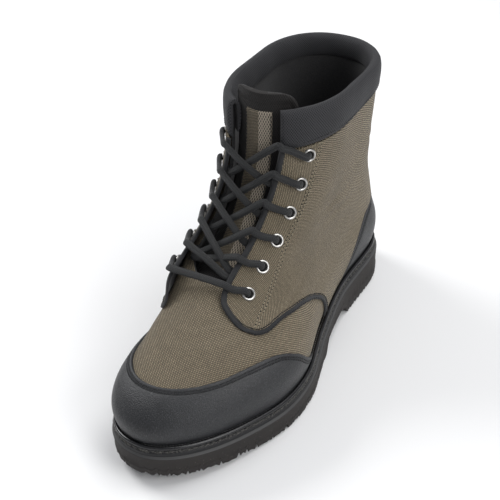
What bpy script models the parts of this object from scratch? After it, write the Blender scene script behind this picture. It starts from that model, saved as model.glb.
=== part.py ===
"""Wading boot for the left foot: lugged rubber outsole, welted midsole, insole, a hollow nylon upper with a
toe cap, heel counter, bound quarters and collar, a padded tongue, eyelets and laces.

Metres, +Z up, toe towards +X, the lateral (outer) side towards +Y. The origin is at the middle of the sole,
on the ground. Shape functions work in shoe coordinates, where x runs from the heel end (0) to the toe.
"""

import math

import bmesh
import bpy
import numpy as np

# Overall sizes
SOLE_LENGTH = 0.318
BALL_WIDTH = 0.101
COLLAR_HEIGHT = 0.204
SHAFT_WIDTH = 0.086
CLEARANCE = 0.0003
OVERLAY_GAP = 0.0008
QUARTER_GAP = 0.0016

# Heights of the featherline, where the upper meets the midsole
BALL_STACK = 0.025
HEEL_STACK = 0.034
TOE_SPRING = 0.0095
SPRING_START = 0.215

# Sole parts: offsets are outwards from the featherline, drops are below it
LIP_REACH = 0.0066
MIDSOLE_REACH = 0.0052
MEDIAL_REACH_SHARE = 0.86
MIDSOLE_THICKNESS = 0.0056
LIP_CHAMFER = 0.0022
WELT_START = 0.0027
BEAD_WIDTH = 0.0018
BEAD_HEIGHT = 0.0016
GROOVE_DEPTH = 0.0006
LUG_DEPTH = 0.0050
LUG_PITCH = 0.0140
LUG_GAP = 0.0034
LUG_INSET = 0.0120
LUG_OUTSET = 0.0003
LUG_STEP_OUT = 0.0008
BAR_PITCH = 0.0175
BAR_LENGTH = 0.0095
HEEL_BREAST = 0.088
FOREPART_START = 0.136
ARCH_RISE = 0.0060
INSOLE_THICKNESS = 0.0035
INSOLE_INSET = 0.0054

# Upper parts: the last's surface is offset 0
UPPER_FACE = -0.0006
UPPER_WALL = 0.0025
OVERLAY_THICKNESS = 0.0010
BINDING_WIDTH = 0.0036
BINDING_RISE = 0.0020
COLLAR_PADDING = 0.0026
SIDE_BULGE = 0.0040

# Toe and heel rounding of the outline, and how high the foot narrows to the shaft
LATERAL_TOE_ROUND = 0.129
MEDIAL_TOE_ROUND = 0.054
INSTEP_ROUND = 0.055
HEEL_ROUND = 0.038
SHAFT_BACK_ROUND = 0.048
NARROW_FROM = 0.060
NARROW_TO = 0.098

# Throat: levels are shares of the way from featherline to collar
THROAT_LEVEL = 0.474
THROAT_ROUND = 0.035
FLAP_OVERHANG = 0.006
LATERAL_LIFT = 0.0014
MEDIAL_LIFT = 0.0080
FLAP_REACH = 0.045
QUARTER_TOP = 0.885
CORNER_LEVEL = 0.42
SEAM_GAP = 0.0014
COUNTER_GAP = 0.0008

# Eyelets, tongue and laces
EYELET_PAIRS = 6
EYELET_LEVEL = 0.426
EYELET_STEP = 0.0855
EYELET_RADIUS = 0.0043
EYELET_BORE = 0.0026
EYELET_RISE = 0.0013
TONGUE_ROOT = 0.42
TONGUE_TOP = 1.04
TONGUE_HALF_WIDTH = 0.034
TONGUE_THICKNESS = 0.0050
LACE_ROOM = 0.0040
LACE_WIDTH = 0.0050
LACE_HEIGHT = 0.0036

# Outline of the featherline: place along the sole, then half widths as shares of the ball width
OUTLINE = dict(
    along=(0.000, 0.142, 0.314, 0.472, 0.613, 0.708, 0.818, 1.000),
    lateral=(0.356, 0.376, 0.376, 0.455, 0.560, 0.592, 0.574, 0.574),
    medial=(0.356, 0.356, 0.307, 0.297, 0.392, 0.410, 0.446, 0.446),
)

# Instep ridge seen from above: place along the sole, sideways place as a share of the ball width
RIDGE = dict(
    along=(0.000, 0.314, 0.629, 0.818, 1.000),
    side=(0.000, -0.040, -0.104, -0.084, -0.069),
)

# Side profiles: place along the sole, height as a share from the featherline to the collar
FRONT_PROFILE = dict(
    along=(0.978, 0.983, 0.975, 0.943, 0.896, 0.824, 0.739, 0.645, 0.560, 0.497, 0.462, 0.450, 0.450),
    height=(0.000, 0.047, 0.097, 0.150, 0.191, 0.244, 0.300, 0.385, 0.485, 0.612, 0.759, 0.924, 1.000),
)
BACK_PROFILE = dict(
    along=(0.0205, 0.0160, 0.0175, 0.0320, 0.0440, 0.0440, 0.0360, 0.0270),
    height=(0.000, 0.094, 0.210, 0.357, 0.474, 0.620, 0.795, 1.000),
)

# Edges drawn on the upper: around is the share of the way from ridge to heel, level that to the collar
TOE_CAP_EDGE = dict(
    around=(-0.444, -0.410, -0.376, -0.329, -0.274, -0.206, -0.122, -0.050, 0.034, 0.123, 0.200, 0.243)
    + (0.291, 0.341, 0.396, 0.451),
    level=(0.015, 0.050, 0.115, 0.161, 0.186, 0.192, 0.178, 0.169, 0.174, 0.184, 0.197, 0.196)
    + (0.177, 0.136, 0.073, 0.015),
)
LATERAL_QUARTER_EDGE = dict(
    around=(0.105, 0.082, 0.066, 0.053, 0.050, 0.061, 0.080, 0.125, 0.164, 0.202, 0.238, 0.288)
    + (0.336, 0.391, 0.459, 0.515, 0.561),
    level=(0.885, 0.740, 0.599, 0.526, 0.469, 0.427, 0.399, 0.345, 0.308, 0.280, 0.270, 0.273)
    + (0.261, 0.241, 0.196, 0.131, 0.020),
)
MEDIAL_QUARTER_EDGE = dict(
    around=(0.110, 0.106, 0.111, 0.116, 0.112, 0.109, 0.109, 0.134, 0.168, 0.209, 0.245, 0.295)
    + (0.342, 0.397, 0.465, 0.521, 0.563),
    level=(0.885, 0.740, 0.599, 0.506, 0.453, 0.406, 0.362, 0.323, 0.295, 0.277, 0.270, 0.271)
    + (0.260, 0.239, 0.193, 0.128, 0.020),
)
COUNTER_EDGE = dict(
    around=(0.690, 0.720, 0.780, 0.850, 0.920, 1.000),
    level=(0.020, 0.110, 0.210, 0.265, 0.290, 0.300),
)

# How far a quarter's free flap stands off the upper below it, as a share of its lift
FLAP_LIFT = dict(
    level=(0.300, 0.340, 0.370, 0.400, 0.500, 0.650, 0.885),
    share=(0.000, 0.100, 0.450, 1.000, 1.000, 0.700, 0.300),
)

# Eyelet rows: around at the first eyelet and its growth per unit of level
EYELET_ROW = {1: (0.145, 0.190), -1: (0.200, 0.116)}

# Resolution of the last's surface and of the loops around the sole
LEVELS = 120
AROUND = 120
STATIONS = 26


def blend(share):
    """Smooth step from 0 to 1."""
    share = np.clip(share, 0.0, 1.0)
    return share * share * (3.0 - 2.0 * share)


def through(at, places, values):
    """Height of a smooth curve that runs through the values at the places."""
    places = np.asarray(places, float)
    values = np.asarray(values, float)
    slopes = np.gradient(values, places)
    k = np.clip(np.searchsorted(places, at) - 1, 0, len(places) - 2)
    span = places[k + 1] - places[k]
    t = np.clip((at - places[k]) / span, 0.0, 1.0)
    from_left = (1 + 2 * t) * (1 - t) ** 2 * values[k] + t * (1 - t) ** 2 * span * slopes[k]
    from_right = t * t * (3 - 2 * t) * values[k + 1] + t * t * (t - 1) * span * slopes[k + 1]
    return from_left + from_right


def evenly(points, count):
    """Points spaced evenly by length along a polyline."""
    steps = np.linalg.norm(np.diff(points, axis=0), axis=1)
    run = np.concatenate([[0.0], np.cumsum(steps)])
    at = np.linspace(0.0, run[-1], count)
    return np.stack([np.interp(at, run, points[:, k]) for k in range(points.shape[1])], axis=1)


def smooth_line(points, count):
    """A smooth curve through the points, spaced evenly by length."""
    points = np.asarray(points, float)
    knots = np.arange(len(points))
    at = np.linspace(0, len(points) - 1, 20 * len(points))
    fine = np.stack([through(at, knots, points[:, k]) for k in range(points.shape[1])], axis=1)
    return evenly(fine, count)


def round_end(distance, power):
    """Share of the full width at a distance from a rounded end, as a share of the rounding."""
    share = np.clip(distance, 0.0, 1.0)
    return (1.0 - (1.0 - share) ** power) ** (1.0 / power)


def feather_height(x):
    """Height of the featherline plane: heel pitch, then toe spring."""
    pitch = blend((x - 0.090) / 0.125)
    spring = np.clip((x - SPRING_START) / (SOLE_LENGTH - SPRING_START), 0.0, 1.2)
    return HEEL_STACK + (BALL_STACK - HEEL_STACK) * pitch + TOE_SPRING * spring**2


def profile(rows):
    """A side profile as evenly spaced x, z points from the featherline to the collar."""
    x = np.array(rows["along"]) * SOLE_LENGTH
    low = feather_height(x[0])
    z = low + np.array(rows["height"]) * (COLLAR_HEIGHT - low)
    return smooth_line(np.stack([x, z], axis=1), 400)


FRONT = profile(FRONT_PROFILE)
BACK = profile(BACK_PROFILE)


def ridge_side(x):
    """Sideways place of the instep ridge."""
    return through(x / SOLE_LENGTH, RIDGE["along"], RIDGE["side"]) * BALL_WIDTH


def half_width(x, z, side):
    """Half width of the last from its ridge, on the lateral side (side 1) or the medial side (side -1)."""
    column = "lateral" if side > 0 else "medial"
    foot = through(x / SOLE_LENGTH, OUTLINE["along"], OUTLINE[column]) * BALL_WIDTH - side * ridge_side(x)
    rise = np.clip((z - feather_height(x)) / 0.040, 0.0, 1.0)
    foot = foot + SIDE_BULGE * np.sin(rise * math.pi)
    narrow = blend((z - NARROW_FROM) / (NARROW_TO - NARROW_FROM))
    shaft = SHAFT_WIDTH / 2 - 0.003 + 0.004 * blend((z - 0.110) / 0.090)
    width = foot * (1 - narrow) + shaft * narrow
    up = blend((z - 0.040) / 0.080)
    toe_round = (LATERAL_TOE_ROUND if side > 0 else MEDIAL_TOE_ROUND) * (1 - up) + INSTEP_ROUND * up
    toe_power = (1.75 if side > 0 else 2.4) * (1 - up) + 1.95 * up
    front_x = np.interp(z, FRONT[:, 1], FRONT[:, 0])
    back_x = np.interp(z, BACK[:, 1], BACK[:, 0])
    heel_round = HEEL_ROUND * (1 - narrow) + SHAFT_BACK_ROUND * narrow
    toe = round_end((front_x - x) / toe_round, toe_power)
    return width * toe * round_end((x - back_x) / heel_round, 2.2)


def level_loop(level):
    """One loop around the last: ridge, lateral side, heel, medial side."""
    at = level * (len(FRONT) - 1)
    front = np.array([np.interp(at, np.arange(len(FRONT)), FRONT[:, k]) for k in (0, 1)])
    back = np.array([np.interp(at, np.arange(len(BACK)), BACK[:, k]) for k in (0, 1)])
    share = (1 - np.cos(np.linspace(0, math.pi, 160))) / 2
    x = front[0] + (back[0] - front[0]) * share
    straight = front[1] + (back[1] - front[1]) * share
    ends = feather_height(np.array([front[0], back[0]]))
    bottom = ends[0] + (ends[1] - ends[0]) * share
    z = straight + (feather_height(x) - bottom) * (1 - level) ** 4
    lateral = np.stack([x, ridge_side(x) + half_width(x, z, 1), z], axis=1)
    medial = np.stack([x, ridge_side(x) - half_width(x, z, -1), z], axis=1)
    return np.concatenate([evenly(lateral, AROUND + 1)[:-1], evenly(medial, AROUND + 1)[::-1][:-1]])


LAST = np.array([level_loop(level) for level in np.linspace(0, 1, LEVELS + 1)])


def last_normals():
    """Unit normals of the last's surface, pointing out."""
    around = np.roll(LAST, -1, axis=1) - np.roll(LAST, 1, axis=1)
    upwards = np.gradient(LAST, axis=0)
    normals = np.cross(around, upwards)
    normals /= np.linalg.norm(normals, axis=2)[:, :, None]
    middle = LAST.mean(axis=1)[:, None]
    outwards = np.sign(((LAST - middle) * normals).sum())
    return normals * outwards


NORMALS = last_normals()


def read(table, around, level):
    """A table of the last's surface read between its points."""
    across = np.mod(around, 2.0) * AROUND
    j = np.floor(across).astype(int)
    fj = (across - j)[..., None]
    i = np.clip(np.floor(level * LEVELS), 0, LEVELS - 1).astype(int)
    fi = (level * LEVELS - i)[..., None]
    j, next_j = j % (2 * AROUND), (j + 1) % (2 * AROUND)
    low = table[i, j] * (1 - fj) + table[i, next_j] * fj
    high = table[i + 1, j] * (1 - fj) + table[i + 1, next_j] * fj
    return low * (1 - fi) + high * fi


def surface(around, level, offset=0.0):
    """Point of the upper: around 0 is the ridge, 1 the heel, negative on the medial side."""
    around, level, offset = np.broadcast_arrays(
        np.asarray(around, float), np.asarray(level, float), np.asarray(offset, float)
    )
    return read(LAST, around, level) + read(NORMALS, around, level) * offset[..., None]


def half_loop(level, side):
    """Length of a level loop from the ridge to the heel on one side."""
    around = np.linspace(0, side, 60)
    line = surface(around, np.full(60, level))
    return np.linalg.norm(np.diff(line, axis=0), axis=1).sum()


LOOP_LEVELS = np.linspace(0, 1, 25)
LOOP_LENGTHS = {side: np.array([half_loop(level, side) for level in LOOP_LEVELS]) for side in (1, -1)}


def around_at(distance, level, side):
    """The around value at a distance from the ridge."""
    return side * distance / np.interp(level, LOOP_LEVELS, LOOP_LENGTHS[side])


def inset(line, width, side):
    """Move a line of (around, level) points sideways on the surface, to its right seen from outside."""
    line = np.asarray(line, float)
    step = 1e-3
    place = surface(line[:, 0], line[:, 1])
    by_around = (surface(line[:, 0] + step, line[:, 1]) - place) / step
    by_level = (surface(line[:, 0], line[:, 1] + step) - place) / step
    tangent = np.gradient(place, axis=0)
    tangent /= np.linalg.norm(tangent, axis=1)[:, None]
    normal = read(NORMALS, line[:, 0], line[:, 1])
    sideways = np.cross(normal, tangent) * side * width
    moved = line.copy()
    for k in range(len(line)):
        basis = np.stack([by_around[k], by_level[k]], axis=1)
        moved[k] += np.linalg.lstsq(basis, sideways[k], rcond=None)[0]
    return moved


def outline_ring(reach, drop, stations=STATIONS):
    """Loop around the sole, from the toe along the lateral side to the heel and back on the medial side."""
    turn = np.linspace(0, math.pi, stations + 1)
    toe, heel = FRONT[0, 0], BACK[0, 0]
    x = heel + (toe - heel) * (1 + np.cos(turn)) / 2
    z = feather_height(x)
    lateral = np.stack([x, ridge_side(x) + half_width(x, z, 1)], axis=1)
    medial = np.stack([x, ridge_side(x) - half_width(x, z, -1)], axis=1)[::-1]
    loop = np.concatenate([lateral[:-1], medial[:-1]])
    along = np.roll(loop, -1, axis=0) - np.roll(loop, 1, axis=0)
    out = np.stack([along[:, 1], -along[:, 0]], axis=1)
    out /= np.linalg.norm(out, axis=1)[:, None]
    share = np.where(out[:, 1] < 0, 1 - (1 - MEDIAL_REACH_SHARE) * out[:, 1] ** 2, 1.0)
    share = share if reach > 0 else np.ones_like(share)
    place = loop + out * (reach * share)[:, None]
    height = feather_height(place[:, 0]) - drop
    return np.concatenate([place, height[:, None]], axis=1)


SOLE_EDGE = outline_ring(LIP_REACH, 0.0, 200)
ORIGIN = np.array([
    (SOLE_EDGE[:, 0].min() + SOLE_EDGE[:, 0].max()) / 2,
    (SOLE_EDGE[:, 1].min() + SOLE_EDGE[:, 1].max()) / 2,
    0.0,
])


def finish(name, roughness, metallic=0.0, colour=(0.02, 0.02, 0.02)):
    """A plain material of its own for one piece."""
    material = bpy.data.materials.new(name)
    material.use_nodes = True
    shader = material.node_tree.nodes["Principled BSDF"]
    shader.inputs["Base Color"].default_value = (*colour, 1.0)
    shader.inputs["Roughness"].default_value = roughness
    shader.inputs["Metallic"].default_value = metallic
    return material


OLIVE = (0.125, 0.112, 0.078)
BLACK = (0.018, 0.018, 0.020)
RUBBER = (0.024, 0.022, 0.021)
NICKEL = (0.62, 0.62, 0.60)


def add_piece(name, points, faces, colour, roughness, metallic=0.0):
    """One closed solid from points in shoe coordinates, with its faces turned outwards."""
    mesh = bpy.data.meshes.new(name)
    mesh.from_pydata([tuple(point) for point in np.asarray(points) - ORIGIN], [], faces)
    work = bmesh.new()
    work.from_mesh(mesh)
    bmesh.ops.recalc_face_normals(work, faces=work.faces)
    work.to_mesh(mesh)
    work.free()
    mesh.shade_smooth()
    mesh.set_sharp_from_angle(angle=math.radians(40))
    mesh.materials.append(finish(name, roughness, metallic, colour))
    piece = bpy.data.objects.new(name, mesh)
    bpy.context.collection.objects.link(piece)
    return piece


def strip_faces(first, second, closed=False):
    """Quads between two rows of point numbers."""
    count = len(first)
    last = count if closed else count - 1
    return [
        (int(first[k]), int(first[(k + 1) % count]), int(second[(k + 1) % count]), int(second[k]))
        for k in range(last)
    ]


def sheet_solid(outer, inner):
    """Points and faces of a closed shell between two grids of points."""
    rows, columns = outer.shape[:2]
    points = np.concatenate([outer.reshape(-1, 3), inner.reshape(-1, 3)])
    top = np.arange(rows * columns).reshape(rows, columns)
    under = top + rows * columns
    faces = []
    for k in range(rows - 1):
        faces += strip_faces(top[k], top[k + 1])
        faces += strip_faces(under[k + 1], under[k])
    for edge in (0, -1):
        faces += strip_faces(top[edge], under[edge])
        faces += strip_faces(top[:, edge], under[:, edge])
    return points, faces


def tube_solid(sections):
    """Points and faces of a closed bar through a row of section loops."""
    count, sides = sections.shape[:2]
    number = np.arange(count * sides).reshape(count, sides)
    faces = [tuple(int(n) for n in number[0]), tuple(int(n) for n in number[-1][::-1])]
    for k in range(count - 1):
        faces += strip_faces(number[k], number[k + 1], closed=True)
    return sections.reshape(-1, 3), faces


def stacked_solid(rings):
    """Points and faces of a solid through closed rings, its first and last ring filled across the foot."""
    count = len(rings[0])
    number = np.arange(count * len(rings)).reshape(len(rings), count)
    faces = []
    for k in range(len(rings) - 1):
        faces += strip_faces(number[k], number[k + 1], closed=True)
    for ring in (number[0], number[-1]):
        for k in range(count // 2):
            loop = [ring[k], ring[k + 1], ring[-(k + 1)], ring[-k] if k else ring[0]]
            faces.append(tuple(int(n) for n in dict.fromkeys(loop)))
    return np.concatenate(rings), faces


def ground_height(x):
    """Height of the tread above the ground: flat, then the toe spring."""
    spring = np.clip((x - SPRING_START) / (SOLE_LENGTH - SPRING_START), 0.0, 1.2)
    return TOE_SPRING * spring**2


def tread_base(x):
    """Height of the sole's underside between the lugs: raised at the arch."""
    arch = blend((x - HEEL_BREAST) / 0.014) * blend((FOREPART_START - x) / 0.030 + 1)
    return LUG_DEPTH + ground_height(x) + ARCH_RISE * arch


def flat_ring(reach, height):
    """Loop around the sole at heights of its own."""
    ring = outline_ring(reach, 0.0)
    ring[:, 2] = height(ring[:, 0])
    return ring


def lug(corners, low, high):
    """A block between two heights over four corners, narrower at the ground."""
    corners = np.array(corners)
    middle = corners.mean(axis=0)
    foot = middle + (corners - middle) * 0.90
    points = [(*corner, high) for corner in corners] + [(*corner, low) for corner in foot]
    faces = [(0, 1, 2, 3), (7, 6, 5, 4), (0, 4, 5, 1), (1, 5, 6, 2), (2, 6, 7, 3), (3, 7, 4, 0)]
    return points, faces


def root_height(corners):
    """Height of a lug's root, a little inside the sole."""
    return float(max(tread_base(corner[0]) for corner in corners)) + 0.0020


def edge_lugs():
    """Slanted lugs around the forepart and the heel, from the sole's edge inwards."""
    ring = evenly(np.concatenate([SOLE_EDGE, SOLE_EDGE[:1]])[:, :2], 1200)
    length = np.linalg.norm(np.diff(ring, axis=0), axis=1).sum()
    count = round(length / LUG_PITCH)
    pitch = length / count
    run = np.linspace(0, length, len(ring))
    along = np.gradient(ring, axis=0)
    inwards = np.stack([along[:, 1], -along[:, 0]], axis=1)
    inwards /= np.linalg.norm(inwards, axis=1)[:, None]
    middle = np.array([SOLE_LENGTH / 2, 0.0])
    inwards *= np.sign(((middle - ring) * inwards).sum())

    def place(at, depth):
        at = at % length
        point = [np.interp(at, run, ring[:, k]) for k in (0, 1)]
        way = [np.interp(at, run, inwards[:, k]) for k in (0, 1)]
        return np.array(point) + np.array(way) * depth

    lugs = []
    for k in range(count):
        start, end = (k + 0.5) * pitch, (k + 1.5) * pitch - LUG_GAP
        x = place((start + end) / 2, 0)[0]
        if HEEL_BREAST - 0.008 < x < FOREPART_START + 0.012:
            continue
        slant = LUG_GAP * (0.9 if k % 2 else -0.4)
        depth = LUG_INSET * (1.0 if k % 2 else 0.78)
        outside = LUG_OUTSET + (0.0 if k % 3 else LUG_STEP_OUT)
        corners = [place(at + slant, outside) for at in (start, end)]
        corners += [place(at, depth) for at in (end, start)]
        lugs.append(lug(corners, float(ground_height(x)), root_height(corners)))
    return lugs


def centre_bars():
    """Pairs of angled bars down the middle of the forepart and across the heel."""
    lugs = []
    fore = np.arange(FOREPART_START + 0.012, SOLE_LENGTH - 0.045, BAR_PITCH)
    heel = np.arange(0.026, HEEL_BREAST - 0.018, BAR_PITCH)
    for x in [*fore, *heel]:
        lateral = ridge_side(x) + half_width(x, feather_height(x), 1) - 0.0095
        medial = ridge_side(x) - half_width(x, feather_height(x), -1) + 0.0095
        middle, room = (lateral + medial) / 2, (lateral - medial) / 2
        if room < 0.012:
            continue
        for side in (1, -1):
            inner, outer = middle + side * 0.0025, middle + side * room
            sweep = 0.0045
            corners = [
                (x - BAR_LENGTH / 2 + sweep, inner), (x + BAR_LENGTH / 2 + sweep, inner),
                (x + BAR_LENGTH / 2 - sweep, outer), (x - BAR_LENGTH / 2 - sweep, outer),
            ]
            lugs.append(lug(corners, float(ground_height(x)), root_height(corners)))
    return lugs


def add_outsole():
    """The lugged rubber outsole with a chamfered lip at its top edge."""
    top = MIDSOLE_THICKNESS + CLEARANCE
    rings = [
        outline_ring(-0.012, top + CLEARANCE),
        outline_ring(MIDSOLE_REACH, top + CLEARANCE),
        outline_ring(LIP_REACH, top + LIP_CHAMFER + CLEARANCE),
        outline_ring(LIP_REACH - 0.0005, top + LIP_CHAMFER + 0.0009),
        flat_ring(LIP_REACH - 0.0009, tread_base),
        flat_ring(-0.012, tread_base),
    ]
    outsole = add_piece("outsole", *stacked_solid(rings), RUBBER, 0.75)
    points, faces = [], []
    for corners, sides in edge_lugs() + centre_bars():
        faces += [tuple(n + len(points) for n in side) for side in sides]
        points += corners
    tread = add_piece("tread", points, faces, RUBBER, 0.75)
    tread.hide_render = True
    tread.display_type = "WIRE"
    union = outsole.modifiers.new("lugs", "BOOLEAN")
    union.operation = "UNION"
    union.solver = "EXACT"
    union.use_self = True
    union.object = tread


def add_midsole():
    """The midsole plate with its welt: a bead against the upper, a stitch groove and a flat side."""
    rings = [
        outline_ring(-0.006, CLEARANCE),
        outline_ring(WELT_START, CLEARANCE),
        outline_ring(WELT_START + BEAD_WIDTH * 0.10, -BEAD_HEIGHT * 0.55),
        outline_ring(WELT_START + BEAD_WIDTH * 0.35, -BEAD_HEIGHT),
        outline_ring(WELT_START + BEAD_WIDTH * 0.70, -BEAD_HEIGHT * 0.85),
        outline_ring(WELT_START + BEAD_WIDTH, 0.0),
        outline_ring(WELT_START + BEAD_WIDTH + 0.0003, GROOVE_DEPTH),
        outline_ring(MIDSOLE_REACH - 0.0004, GROOVE_DEPTH * 0.6),
        outline_ring(MIDSOLE_REACH, GROOVE_DEPTH + 0.0004),
        outline_ring(MIDSOLE_REACH, MIDSOLE_THICKNESS + CLEARANCE),
        outline_ring(-0.012, MIDSOLE_THICKNESS + CLEARANCE),
    ]
    add_piece("midsole_welt", *stacked_solid(rings), BLACK, 0.5)


def add_insole():
    """The footbed inside the upper."""
    rings = [
        outline_ring(-0.012, 0.0),
        outline_ring(-INSOLE_INSET, 0.0),
        outline_ring(-INSOLE_INSET, -INSOLE_THICKNESS * 0.8),
        outline_ring(-INSOLE_INSET - 0.0010, -INSOLE_THICKNESS),
        outline_ring(-0.012, -INSOLE_THICKNESS),
    ]
    add_piece("insole", *stacked_solid(rings), (0.05, 0.05, 0.05), 0.9)


def throat_edge(level, side):
    """Around value of the upper's own opening: a round bottom, then set back below the quarter's edge."""
    rows = LATERAL_QUARTER_EDGE if side > 0 else MEDIAL_QUARTER_EDGE
    throat = slice(0, 5)
    edge = through(level, rows["level"][throat][::-1], rows["around"][throat][::-1])
    setback = around_at(FLAP_OVERHANG, level, 1)
    share = round_end((level - THROAT_LEVEL) / THROAT_ROUND, 2.0)
    return (edge + setback) * share * side


def add_upper():
    """The hollow upper: one wall from featherline to collar, open at the throat, on top and below."""
    low = np.concatenate([[0.0, 0.025], np.linspace(0.07, THROAT_LEVEL, 8)])
    high = THROAT_LEVEL + np.array([0.008, 0.022, 0.045])
    levels = np.concatenate([low, high, np.linspace(0.59, 1.0, 6)])
    throat_row = len(low) - 1
    columns = 24
    spread = np.linspace(0, 1, columns)
    spread = spread - 0.05 * np.sin(2 * math.pi * spread)
    numbers, around, level = {}, [], []
    for i, height in enumerate(levels):
        for side in (1, -1):
            edge = float(throat_edge(height, side)) if i > throat_row else 0.0
            for j in range(columns):
                split = side if j == 0 and i > throat_row else 0
                key = (i, side * j if j < columns - 1 else columns - 1, split)
                if key in numbers:
                    continue
                numbers[key] = len(around)
                around.append(edge + (side - edge) * spread[j])
                level.append(height)

    def row(i, side):
        front = (i, 0, side if i > throat_row else 0)
        line = [numbers[front]] + [numbers[(i, side * j, 0)] for j in range(1, columns - 1)]
        return line + [numbers[(i, columns - 1, 0)]]

    count = len(around)
    outer = surface(around, level, UPPER_FACE)
    inner = surface(around, level, UPPER_FACE - UPPER_WALL)
    inner[[n for n, height in enumerate(level) if height == 0.0], 2] = outer[
        [n for n, height in enumerate(level) if height == 0.0], 2
    ]
    faces = []
    last = len(levels) - 1
    for side in (1, -1):
        for i in range(last):
            lower, upper = np.array(row(i, side)), np.array(row(i + 1, side))
            faces += strip_faces(lower, upper)
            faces += strip_faces(upper + count, lower + count)
        for edge in (0, last):
            rim = np.array(row(edge, side))
            faces += strip_faces(rim, rim + count)
        rim = np.array([row(i, side)[0] for i in range(throat_row, last + 1)])
        faces += strip_faces(rim, rim + count)
    add_piece("upper", np.concatenate([outer, inner]), faces, OLIVE, 0.85)


def add_toe_cap():
    """The toe cap, wrapped around the front of the upper up to its top edge."""
    columns, rows = 33, 6
    ends = TOE_CAP_EDGE["around"]
    around = np.linspace(ends[0], ends[-1], columns)
    top = through(around, TOE_CAP_EDGE["around"], TOE_CAP_EDGE["level"])
    share = np.linspace(0, 1, rows)[:, None]
    level = 0.002 + (top - 0.002) * share
    around = np.broadcast_to(around, level.shape)
    low = UPPER_FACE + OVERLAY_GAP + CLEARANCE
    solid = sheet_solid(surface(around, level, low + OVERLAY_THICKNESS), surface(around, level, low))
    add_piece("toe_cap", *solid, BLACK, 0.45)


def counter_top(around):
    """Level of the heel counter's top edge."""
    return through(around, COUNTER_EDGE["around"], COUNTER_EDGE["level"])


def add_heel_counter():
    """The heel counter, around the back of the upper."""
    columns, rows = 17, 6
    front = COUNTER_EDGE["around"][0]
    around = np.linspace(front, 2 - front, columns)
    top = counter_top(1 - np.abs(around - 1))
    share = np.linspace(0, 1, rows)[:, None]
    level = 0.002 + (top - 0.002) * share
    around = np.broadcast_to(around, level.shape)
    low = UPPER_FACE + OVERLAY_GAP + CLEARANCE
    thickness = OVERLAY_THICKNESS * 1.3
    solid = sheet_solid(surface(around, level, low + thickness), surface(around, level, low))
    add_piece("heel_counter", *solid, BLACK, 0.45)


def quarter_edge(side):
    """The quarter's bound edge from the collar down the throat, round the tab, then to the featherline."""
    rows = LATERAL_QUARTER_EDGE if side > 0 else MEDIAL_QUARTER_EDGE
    knots = np.arange(len(rows["around"]))
    at = np.linspace(0, knots[-1], 2 * len(knots) - 1)
    around = side * through(at, knots, rows["around"])
    return np.stack([around, through(at, knots, rows["level"])], axis=1)


def lift(around, level, side):
    """How far the quarter's flap stands off the upper."""
    rows = LATERAL_QUARTER_EDGE if side > 0 else MEDIAL_QUARTER_EDGE
    throat = slice(0, 7)
    edge = np.interp(level, rows["level"][throat][::-1], rows["around"][throat][::-1])
    beyond = (np.abs(around) - edge) * np.interp(level, LOOP_LEVELS, LOOP_LENGTHS[side])
    away = np.clip(1 - beyond / FLAP_REACH, 0.0, 1.0) ** 2
    height = through(level, FLAP_LIFT["level"], FLAP_LIFT["share"])
    height = np.where(level < FLAP_LIFT["level"][0], 0.0, height)
    return (LATERAL_LIFT if side > 0 else MEDIAL_LIFT) * away * height


def coons(bottom, top, left, right):
    """Grid of (around, level) points between four edge lines."""
    s = np.linspace(0, 1, len(bottom))[None, :, None]
    t = np.linspace(0, 1, len(left))[:, None, None]
    across = left[:, None] * (1 - s) + right[:, None] * s
    upwards = bottom[None] * (1 - t) + top[None] * t
    corners = (bottom[0] * (1 - s) + bottom[-1] * s) * (1 - t) + (top[0] * (1 - s) + top[-1] * s) * t
    return across + upwards - corners


def add_quarter(side):
    """A quarter: its front flap with the round tab, then the side of the boot back to the heel seam."""
    edge = inset(quarter_edge(side), BINDING_WIDTH + CLEARANCE, side)
    corner = int(np.argmin(np.abs(edge[:, 1] - CORNER_LEVEL)))
    left = edge[: corner + 1][::-1]
    seam = 1.0 - SEAM_GAP
    back = np.linspace(COUNTER_EDGE["around"][0], 1.0, 9)
    above = inset(np.stack([side * back, counter_top(back)], axis=1), COUNTER_GAP, side)
    above[-1, 0] = side * seam
    before = np.linspace(edge[-1], above[0], 4)[1:-1]
    bottom = np.concatenate([edge[corner:], before, above])
    run = np.linspace(0, 1, len(bottom))[:, None]
    top = left[-1] * (1 - run) + np.array([side * seam, left[-1, 1]]) * run
    right = np.linspace(bottom[-1], top[-1], len(left))
    grid = coons(bottom, top, left, right)
    around, level = grid[..., 0], grid[..., 1]
    low = UPPER_FACE + QUARTER_GAP + lift(around, level, side)
    solid = sheet_solid(surface(around, level, low + OVERLAY_THICKNESS), surface(around, level, low))
    add_piece("quarter_lateral" if side > 0 else "quarter_medial", *solid, OLIVE, 0.85)


def add_binding(side):
    """The tape bound over the quarter's front edge, a rounded step in relief."""
    edge = quarter_edge(side)
    low = UPPER_FACE + QUARTER_GAP
    shares = (0.0, 0.0, 0.30, 0.75, 1.0, 1.0)
    rises = (0.0, 0.70, 1.0, 0.95, 0.75, 0.0)
    loops = []
    for share, rise in zip(shares, rises):
        line = inset(edge, BINDING_WIDTH * share + 1e-6, side)
        raised = low + lift(line[:, 0], line[:, 1], side) + BINDING_RISE * rise
        loops.append(surface(line[:, 0], line[:, 1], raised))
    solid = tube_solid(np.stack(loops, axis=1))
    add_piece("binding_lateral" if side > 0 else "binding_medial", *solid, BLACK, 0.7)


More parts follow.
